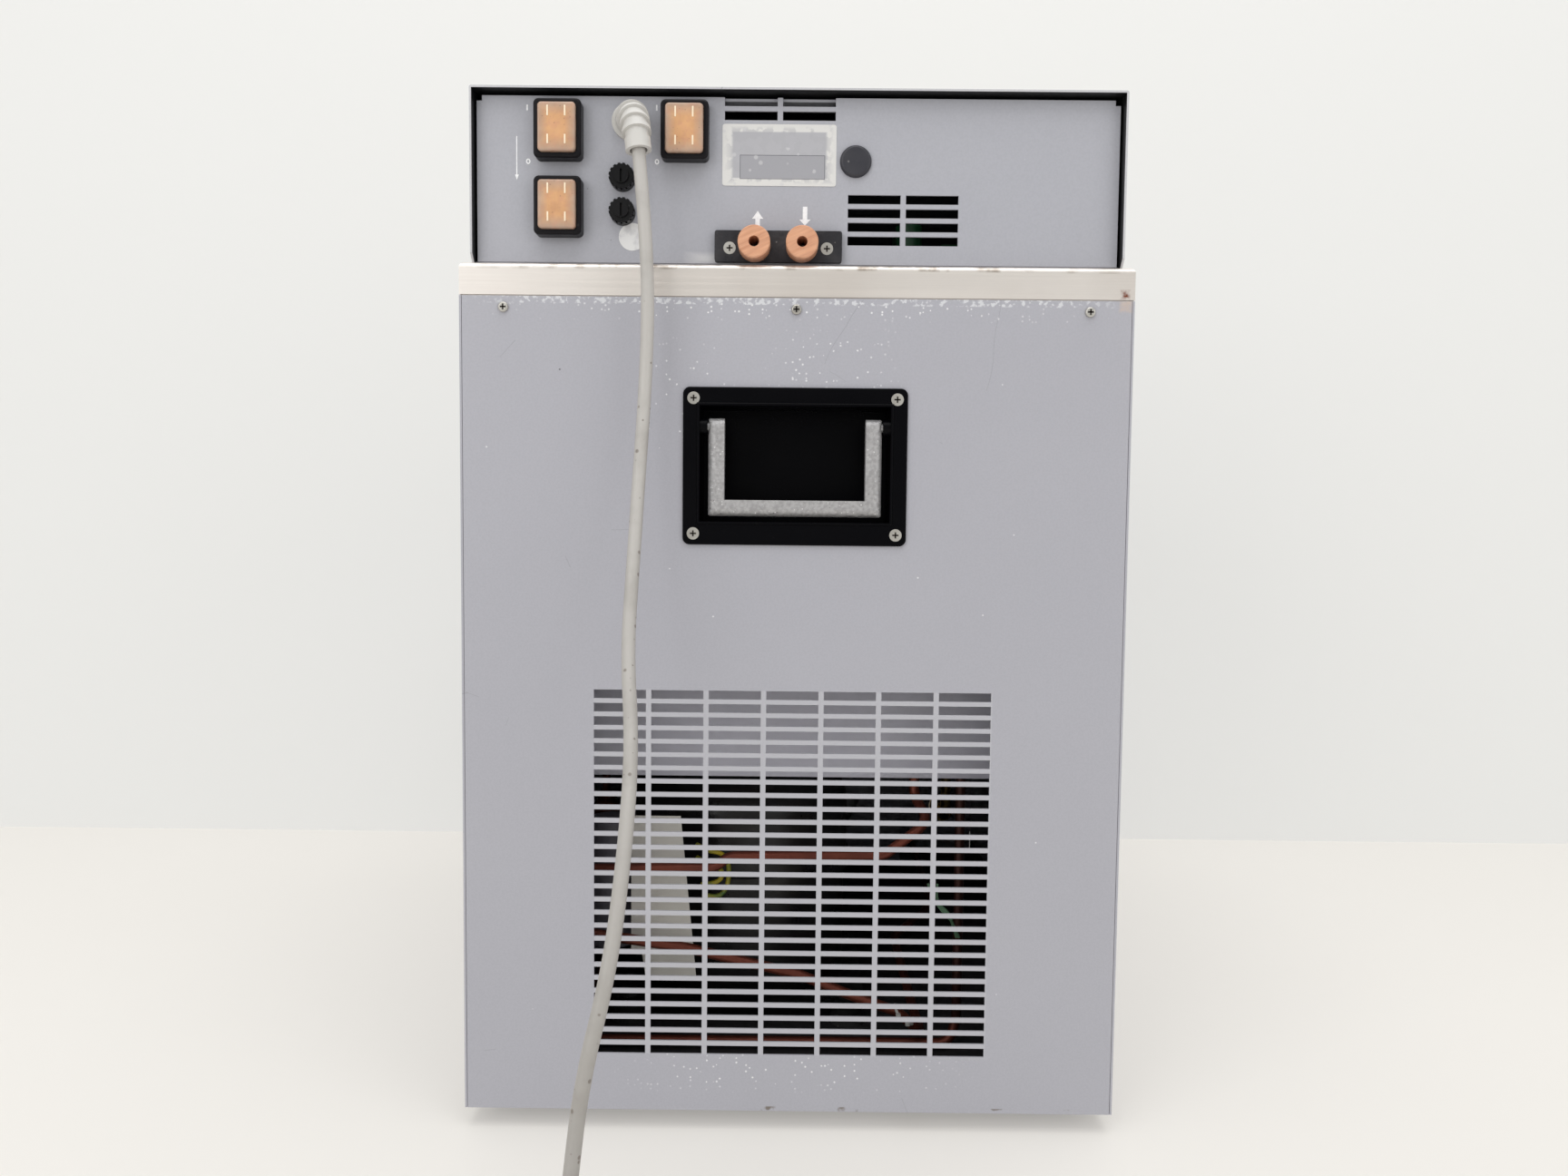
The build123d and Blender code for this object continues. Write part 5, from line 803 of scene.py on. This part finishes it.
# %% Round sticker
STICKER_X, STICKER_Z = -94.2, 519.6
STICKER_RADIUS, PAPER = 0.0078, 0.0002
deselect()
bpy.ops.mesh.primitive_cylinder_add(vertices=48, radius=STICKER_RADIUS, depth=PAPER,
                                    location=mm(STICKER_X, SERVICE_FACE - 0.1, STICKER_Z),
                                    rotation=(math.pi / 2, 0, 0))
sticker = settle("round_sticker")
paper = Finish("sticker_paper", screen(228, 228, 228), 0.55)
paper.wash("Mottle", 0.4, screen(176, 176, 182), Scale=160.0, Low=0.5, High=0.62)
paper.bump(paper.group("Mottle", Scale=300.0), 0.00006, 0.3)
paper.on(sticker)

# %% [markdown]
# ## Ribs of the splash covers
#
# Four short ribs stand on each soft cover and show as bright ticks over the rocker. Their
# near-white colour is a painted highlight on the cover's plastic. They are small bars with eased
# edges, placed by one loop, so that each cover gets the same four. Painted ticks would vanish from
# the side.

# %% Cover ribs
RIB_ACROSS, HALF_RIB = 4.9, 0.45
RIB_ROWS = [(8.6, 2.9), (-7.0, 2.6)]
rib_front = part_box("splash_covers")[0][1] * 1000
ticks = []
for x, z in SWITCHES:
    for across in (-RIB_ACROSS, RIB_ACROSS):
        for up, reach in RIB_ROWS:
            ticks.append(bar((x + across - HALF_RIB, rib_front - 0.15, z + up - reach),
                             (x + across + HALF_RIB, rib_front + 0.4, z + up + reach), 0.12))
cover_ribs = join(ticks, "cover_ribs")
# Near-white ribs on the clear cover: painted highlight.
rib_highlight_plastic = Finish("rib_highlight_plastic", screen(252, 238, 212), 0.35)
rib_highlight_plastic.wash("Mottle", 0.4, screen(244, 216, 178), Scale=400.0)
rib_highlight_plastic.on(cover_ribs)

# %% [markdown]
# ## Painted shade in the screws' crosses
#
# Shade fills the cross of every screw, and it is what makes a cross read as one from a step away.
# Two dark bars deep in each recess paint that shade. A dark finish on the whole screw would hide
# the bright edges that light the cross.

# %% Where the crosses are, as (x, y, z, way in)
TRAY_X, TRAY_Z, TRAY_MIDDLE = 57.5, 38.2, 389.0
PORT_SCREWS, PORT_SCREW_Z = (-38.4, 17.0), 513.1
TOP_SCREWS, TOP_SCREW_Z = (-165.0, 0.0, 165.0), 477.0
TRAY_HEAD, PORT_HEAD, TOP_HEAD = 1.8, 4.0, 1.7
tray_screws = [(x, TRAY_MIDDLE + z) for x in (-TRAY_X, TRAY_X) for z in (-TRAY_Z, TRAY_Z)]
crosses = []
for x, z in tray_screws:
    crosses.append((x, REAR - TRAY_HEAD, z, 1))
    crosses.append((x, FRONT + TRAY_HEAD, z, -1))
for x in PORT_SCREWS:
    crosses.append((x, SERVICE_FACE - PORT_HEAD, PORT_SCREW_Z, 1))
for x in TOP_SCREWS:
    crosses.append((x, REAR - TOP_HEAD, TOP_SCREW_Z, 1))
    crosses.append((x, FRONT + TOP_HEAD, TOP_SCREW_Z, -1))
print("crosses:", len(crosses))

# %% Painted shade in each cross
ARM, HALF_ARM = 1.7, 0.42
SHADE_TOP, SHADE_FLOOR = 0.45, 0.7
bars = []
for x, y, z, way in crosses:
    for wide, tall in ((ARM, HALF_ARM), (HALF_ARM, ARM)):
        near, deep = sorted((y + way * SHADE_TOP, y + way * SHADE_FLOOR))
        bars.append(bar((x - wide, near, z - tall), (x + wide, deep, z + tall)))
# Dark bars in each cross: painted shade in the screws' recesses.
cross_dirt = join(bars, "cross_dirt")
cross_shade_paint = Finish("painted_cross_shade", screen(34, 28, 24), 0.9)
cross_shade_paint.wash("Mottle", 0.6, screen(92, 80, 68), Scale=900.0, Low=0.5, High=0.65)
cross_shade_paint.on(cross_dirt)

# %% [markdown]
# ## Wires behind the grille
#
# Striped earth wires loop out of the terminal cover, and thin green wires hang at the right. A wire
# is a curve with a round section through listed points, made a mesh once its route is set, since
# nothing on it moves. Extruding a circle by hand would kink at every point.

# %% Wire helper
def wire(name, places, radius):
    """A wire along given points in millimetres."""
    deselect()
    data = bpy.data.curves.new(name, "CURVE")
    data.dimensions = "3D"
    data.bevel_depth = radius / 1000
    data.bevel_resolution = 3
    data.resolution_u = 5
    data.use_fill_caps = True
    line = data.splines.new("NURBS")
    line.points.add(len(places) - 1)
    for point, place in zip(line.points, places):
        point.co = (*mm(*place), 1)
    line.order_u = 3
    line.use_endpoint_u = True
    piece = bpy.data.objects.new(name, data)
    bpy.context.collection.objects.link(piece)
    piece.select_set(True)
    bpy.context.view_layer.objects.active = piece
    bpy.ops.object.convert(target="MESH")
    return bpy.context.object


def behind(x, depth, z):
    return (x, REAR + depth, z)

# %% Striped earth wires
EARTH_RADIUS, CONTROL_RADIUS = 1.5, 0.8
earth = [
    wire("earth_upper", [behind(-60, 72, 150), behind(-52, 64, 148), behind(-45, 66, 147),
                         behind(-40, 72, 141), behind(-39, 74, 130), behind(-41, 73, 120),
                         behind(-47, 69, 116), behind(-56, 70, 118)], EARTH_RADIUS),
    wire("earth_lower", [behind(-60, 74, 141), behind(-52, 68, 139), behind(-46, 69, 137),
                         behind(-43, 73, 131), behind(-46, 71, 125), behind(-57, 72, 124)],
         EARTH_RADIUS)]
earth_wires = join(earth, "earth_wires")
sleeve = Finish("earth_sleeve", screen(196, 172, 40), 0.4)
stripes = sleeve.group("Brushed", Stretch=(90.0, 90.0, 90.0))
sleeve.tint(stripes, screen(60, 104, 48))
sleeve.bump(sleeve.group("Mottle", Scale=500.0), 0.00005, 0.2)
sleeve.on(earth_wires)

# %% Thin green wires
green = [wire(f"green_{number}", [behind(88 + 3 * number, 66, 128), behind(92, 60 + number, 118),
                                  behind(97 + 2 * number, 58, 112), behind(104, 64, 104 - number),
                                  behind(107 + number, 70, 92)], CONTROL_RADIUS)
         for number in range(3)]
green_wires = join(green, "control_wires")
pale_green = Finish("green_sleeve", screen(112, 150, 118), 0.45)
pale_green.wash("Mottle", 0.5, screen(74, 104, 82), Scale=200.0)
pale_green.on(green_wires)

# %% [markdown]
# ## Terminal cover
#
# The cream cover over the compressor's terminals leans, and has a step in its lower left corner.
# Its outline is drawn flat like a mark, with a corner at each bend, and its back is pulled in to
# the cover's depth. A cube would have to be skewed and cut to get the same six sides.

# %% Cover drawn flat and given its depth
COVER_OUTLINE = [(-100, 172.4), (-69, 172.4), (-58.6, 67.5), (-90.6, 67), (-93, 83.5), (-100, 83.5)]
COVER_FRONT, COVER_DEPTH, COVER_EDGE = 57, 34, 0.0022
cover = outline_mark(COVER_OUTLINE, REAR + COVER_FRONT)
bpy.context.view_layer.objects.active = cover
bpy.ops.object.mode_set(mode="EDIT")
bpy.ops.mesh.select_all(action="DESELECT")
shape = bmesh.from_edit_mesh(cover.data)
shape.faces.ensure_lookup_table()
for face in shape.faces:
    face.select_set(face.normal.y > 0.9)
bmesh.update_edit_mesh(cover.data)
bpy.ops.mesh.extrude_region_move(TRANSFORM_OT_translate={"value": mm(0, COVER_DEPTH, 0)})
bpy.ops.mesh.select_all(action="SELECT")
bpy.ops.mesh.bevel(offset=COVER_EDGE, segments=4, affect="EDGES", clamp_overlap=True)
bpy.ops.mesh.normals_make_consistent(inside=False)
bpy.ops.object.mode_set(mode="OBJECT")
terminal_cover = settle("terminal_cover")
relay_cream.on(terminal_cover)
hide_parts("relay_box")

# %% [markdown]
# ## Cable ties
#
# Two pale ties hold the pipes low at the right, each at its own angle. A tie is a thin ring round
# the pipe and a small block for its lock; a ring alone would look like a washer.

# %% Cable ties on the pipes
TIES = [(behind(68, 48, 52), 25), (behind(74, 50, 46), 60)]
TIE_RADIUS, STRAP = 0.0043, 0.0009
ties = []
for centre, tilt in TIES:
    deselect()
    bpy.ops.mesh.primitive_torus_add(major_radius=TIE_RADIUS, minor_radius=STRAP,
                                     major_segments=32, minor_segments=8, location=mm(*centre),
                                     rotation=(0, math.radians(90 - tilt), 0))
    ties.append(bpy.context.object)
    x, y, z = centre
    ties.append(bar((x - 1.4, y - 7.5, z - 1.2), (x + 1.4, y - 4.2, z + 1.2), 0.4))
cable_ties = join(ties, "cable_ties")
nylon.on(cable_ties)

# %% [markdown]
# ## Display and keys on the user's side
#
# The photograph doesn't show this side, so it gets what such machines have: a red three-digit
# display and three raised keys. Each digit is built from eased bars, as the real segments are,
# made flat and then laid on the sloped window, which is far simpler than building on the slope.

# %% The sloped face
window_low, window_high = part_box("display_window")
window_middle = (Vector(window_low) + Vector(window_high)) / 2
outer_faces = [face for face in nodes["display_window"].data.polygons if face.normal.y > 0.1]
window_normal = max(outer_faces, key=lambda face: face.area).normal.copy()
slope_turn = math.atan2(window_normal.z, window_normal.y)
print(f"the face leans back by {math.degrees(slope_turn):.1f} degrees")


def on_window(piece, lift):
    """Turn a piece made flat in the XZ plane about the middle of the sloped window."""
    deselect()
    piece.select_set(True)
    bpy.context.view_layer.objects.active = piece
    bpy.ops.object.transform_apply(location=True, rotation=True, scale=True)
    piece.rotation_euler = (-slope_turn, 0, math.pi)
    piece.location = window_middle + window_normal * lift
    bpy.ops.object.transform_apply(location=True, rotation=True, scale=True)
    return piece

# %% Digits
SEGMENTS = {"2": "abged", "0": "abcdef", "5": "afgcd"}
WIDE, TALL, FIRST_DIGIT, DIGIT_PITCH = 8.0, 15.0, -52, 13
HALF_SEGMENT, HALF_THICK, SEGMENT_GAP, SEGMENT_EDGE = 0.7, 0.25, 0.9, 0.2


def segment(letter, x):
    """One segment of a digit whose centre is at x."""
    flat = {"a": TALL / 2, "g": 0.0, "d": -TALL / 2}
    if letter in flat:
        z = flat[letter]
        return bar((x - WIDE / 2 + SEGMENT_GAP, -HALF_THICK, z - HALF_SEGMENT),
                   (x + WIDE / 2 - SEGMENT_GAP, HALF_THICK, z + HALF_SEGMENT), SEGMENT_EDGE)
    side = 1 if letter in "bc" else -1
    z = TALL / 4 if letter in "bf" else -TALL / 4
    return bar((x + side * WIDE / 2 - HALF_SEGMENT, -HALF_THICK, z - TALL / 4 + SEGMENT_GAP),
               (x + side * WIDE / 2 + HALF_SEGMENT, HALF_THICK, z + TALL / 4 - SEGMENT_GAP),
               SEGMENT_EDGE)

# %% Three lit digits and their point
HALF_POINT = 0.8
point_x = FIRST_DIGIT + DIGIT_PITCH * 1.5
lit = [segment(letter, FIRST_DIGIT + DIGIT_PITCH * place) for place, digit in enumerate("205")
       for letter in SEGMENTS[digit]]
lit.append(bar((point_x - HALF_POINT, -HALF_THICK, -TALL / 2 - HALF_POINT),
               (point_x + HALF_POINT, HALF_THICK, -TALL / 2 + HALF_POINT), SEGMENT_EDGE))
digits = on_window(join(lit, "display_digits"), 0.0009)
segment_red = Finish("red_segments", screen(206, 40, 30), 0.35, Emission_Strength=0.6)
segment_red.shader.inputs["Emission Color"].default_value = screen(210, 36, 24)
segment_red.wash("Mottle", 0.3, screen(232, 74, 58), Scale=300.0)
segment_red.on(digits)

# %% Keys with arrows and a 0
ARROW_KEYS = [(22, 1), (42, -1)]
NOUGHT_KEY = 63
HALF_KEY, HALF_RISE, KEY_EDGE = 7, 0.5, 0.45
keys, key_marks = [], []
for x in [place for place, way in ARROW_KEYS] + [NOUGHT_KEY]:
    keys.append(bar((x - HALF_KEY, -HALF_RISE, -HALF_KEY), (x + HALF_KEY, HALF_RISE, HALF_KEY),
                    KEY_EDGE))
for x, way in ARROW_KEYS:
    key_marks.append(outline_mark([(x - 3, -way * 2.4), (x + 3, -way * 2.4), (x, way * 2.8)], 0))
key_marks += numeral(NOUGHT_KEY, 0, 5.0, 6.4, 0.9, 0)
keypad = on_window(join(keys, "keypad"), 0.001)
moulded("key_rubber", screen(92, 96, 104), 0.6, 1200.0).on(keypad)
key_print = on_window(join(key_marks, "key_print"), 0.0016)
ink.on(key_print)

# %% [markdown]
# ## Bench, wall and light
#
# The machine stands on a pale bench against a pale wall. The wall's back is made see-through, so
# that it doesn't hide the machine from the user's side. A large soft lamp above and in front and a
# bright room give the flat light of the photograph.

# %% Paint of the bench and wall
def stage_paint(name, colour, lift):
    """A matt pale surface whose own colour also shows to the camera, glass and metal."""
    paint = Finish(name, colour, 0.7)
    tree = paint.tree
    plain = tree.nodes.new("ShaderNodeEmission")
    plain.inputs["Color"].default_value = colour
    mixer = tree.nodes.new("ShaderNodeMixShader")
    mixer.inputs[0].default_value = lift
    tree.links.new(paint.shader.outputs[0], mixer.inputs[1])
    tree.links.new(plain.outputs[0], mixer.inputs[2])
    return paint, mixer

# %% Bench
STAGE_SIZE, WALL_Y = 8, 0.352
deselect()
bpy.ops.mesh.primitive_plane_add(size=STAGE_SIZE, location=(0, 0, 0))
bench = bpy.context.object
bench.name = "bench"
bench_paint, bench_mix = stage_paint("bench_top", screen(238, 235, 230), 0.35)
bench_paint.wash("Mottle", 0.25, screen(233, 229, 223), Scale=2.0)
bench_paint.wash("Specks", 0.5, screen(150, 140, 130), Scale=9.0, Share=0.05, Radius=0.03)
bench_paint.tree.links.new(bench_mix.outputs[0],
                           bench_paint.tree.nodes["Material Output"].inputs[0])
bench_paint.on(bench)

# %% Wall, see-through from behind
deselect()
bpy.ops.mesh.primitive_plane_add(size=STAGE_SIZE, location=(0, WALL_Y, STAGE_SIZE / 2),
                                 rotation=(math.pi / 2, 0, 0))
wall = bpy.context.object
wall.name = "wall"
wall_paint, wall_mix = stage_paint("wall_paint", screen(235, 235, 233), 0.35)
tree = wall_paint.tree
clear = tree.nodes.new("ShaderNodeBsdfTransparent")
side = tree.nodes.new("ShaderNodeNewGeometry")
see_through = tree.nodes.new("ShaderNodeMixShader")
tree.links.new(side.outputs["Backfacing"], see_through.inputs[0])
tree.links.new(wall_mix.outputs[0], see_through.inputs[1])
tree.links.new(clear.outputs[0], see_through.inputs[2])
tree.links.new(see_through.outputs[0], tree.nodes["Material Output"].inputs[0])
wall_paint.on(wall)

# %% Room light and lamps
ROOM_COLOUR, ROOM_LIGHT = screen(236, 236, 234), 0.62
world = bpy.data.worlds.new("room")
bpy.context.scene.world = world
world.use_nodes = True
world.node_tree.nodes["Background"].inputs["Color"].default_value = ROOM_COLOUR
world.node_tree.nodes["Background"].inputs["Strength"].default_value = ROOM_LIGHT


def lamp(name, place, aim, size, power):
    """A square soft lamp at a place in metres, turned towards a point."""
    data = bpy.data.lights.new(name, "AREA")
    data.shape = "SQUARE"
    data.size = size
    data.energy = power
    light = bpy.data.objects.new(name, data)
    light.location = place
    light.rotation_euler = (Vector(aim) - Vector(place)).to_track_quat("-Z", "Y").to_euler()
    bpy.context.collection.objects.link(light)


lamp("ceiling_lamp", (0.1, -0.9, 2.6), (0, -0.1, 0.3), 2.2, 34)
lamp("window_lamp", (-1.6, -2.2, 1.3), (0, -0.3, 0.35), 1.6, 16)
lamp("fill_lamp", (1.9, -1.9, 1.0), (0, -0.3, 0.3), 1.6, 9)

# %% [markdown]
# ## Colour view
#
# The render keeps the standard view transform, and nothing is left selected. The dressed
# machine must stay inside the box of its solids.

# %% Standard view
view_settings = bpy.context.scene.view_settings
view_settings.view_transform = "Standard"
deselect()
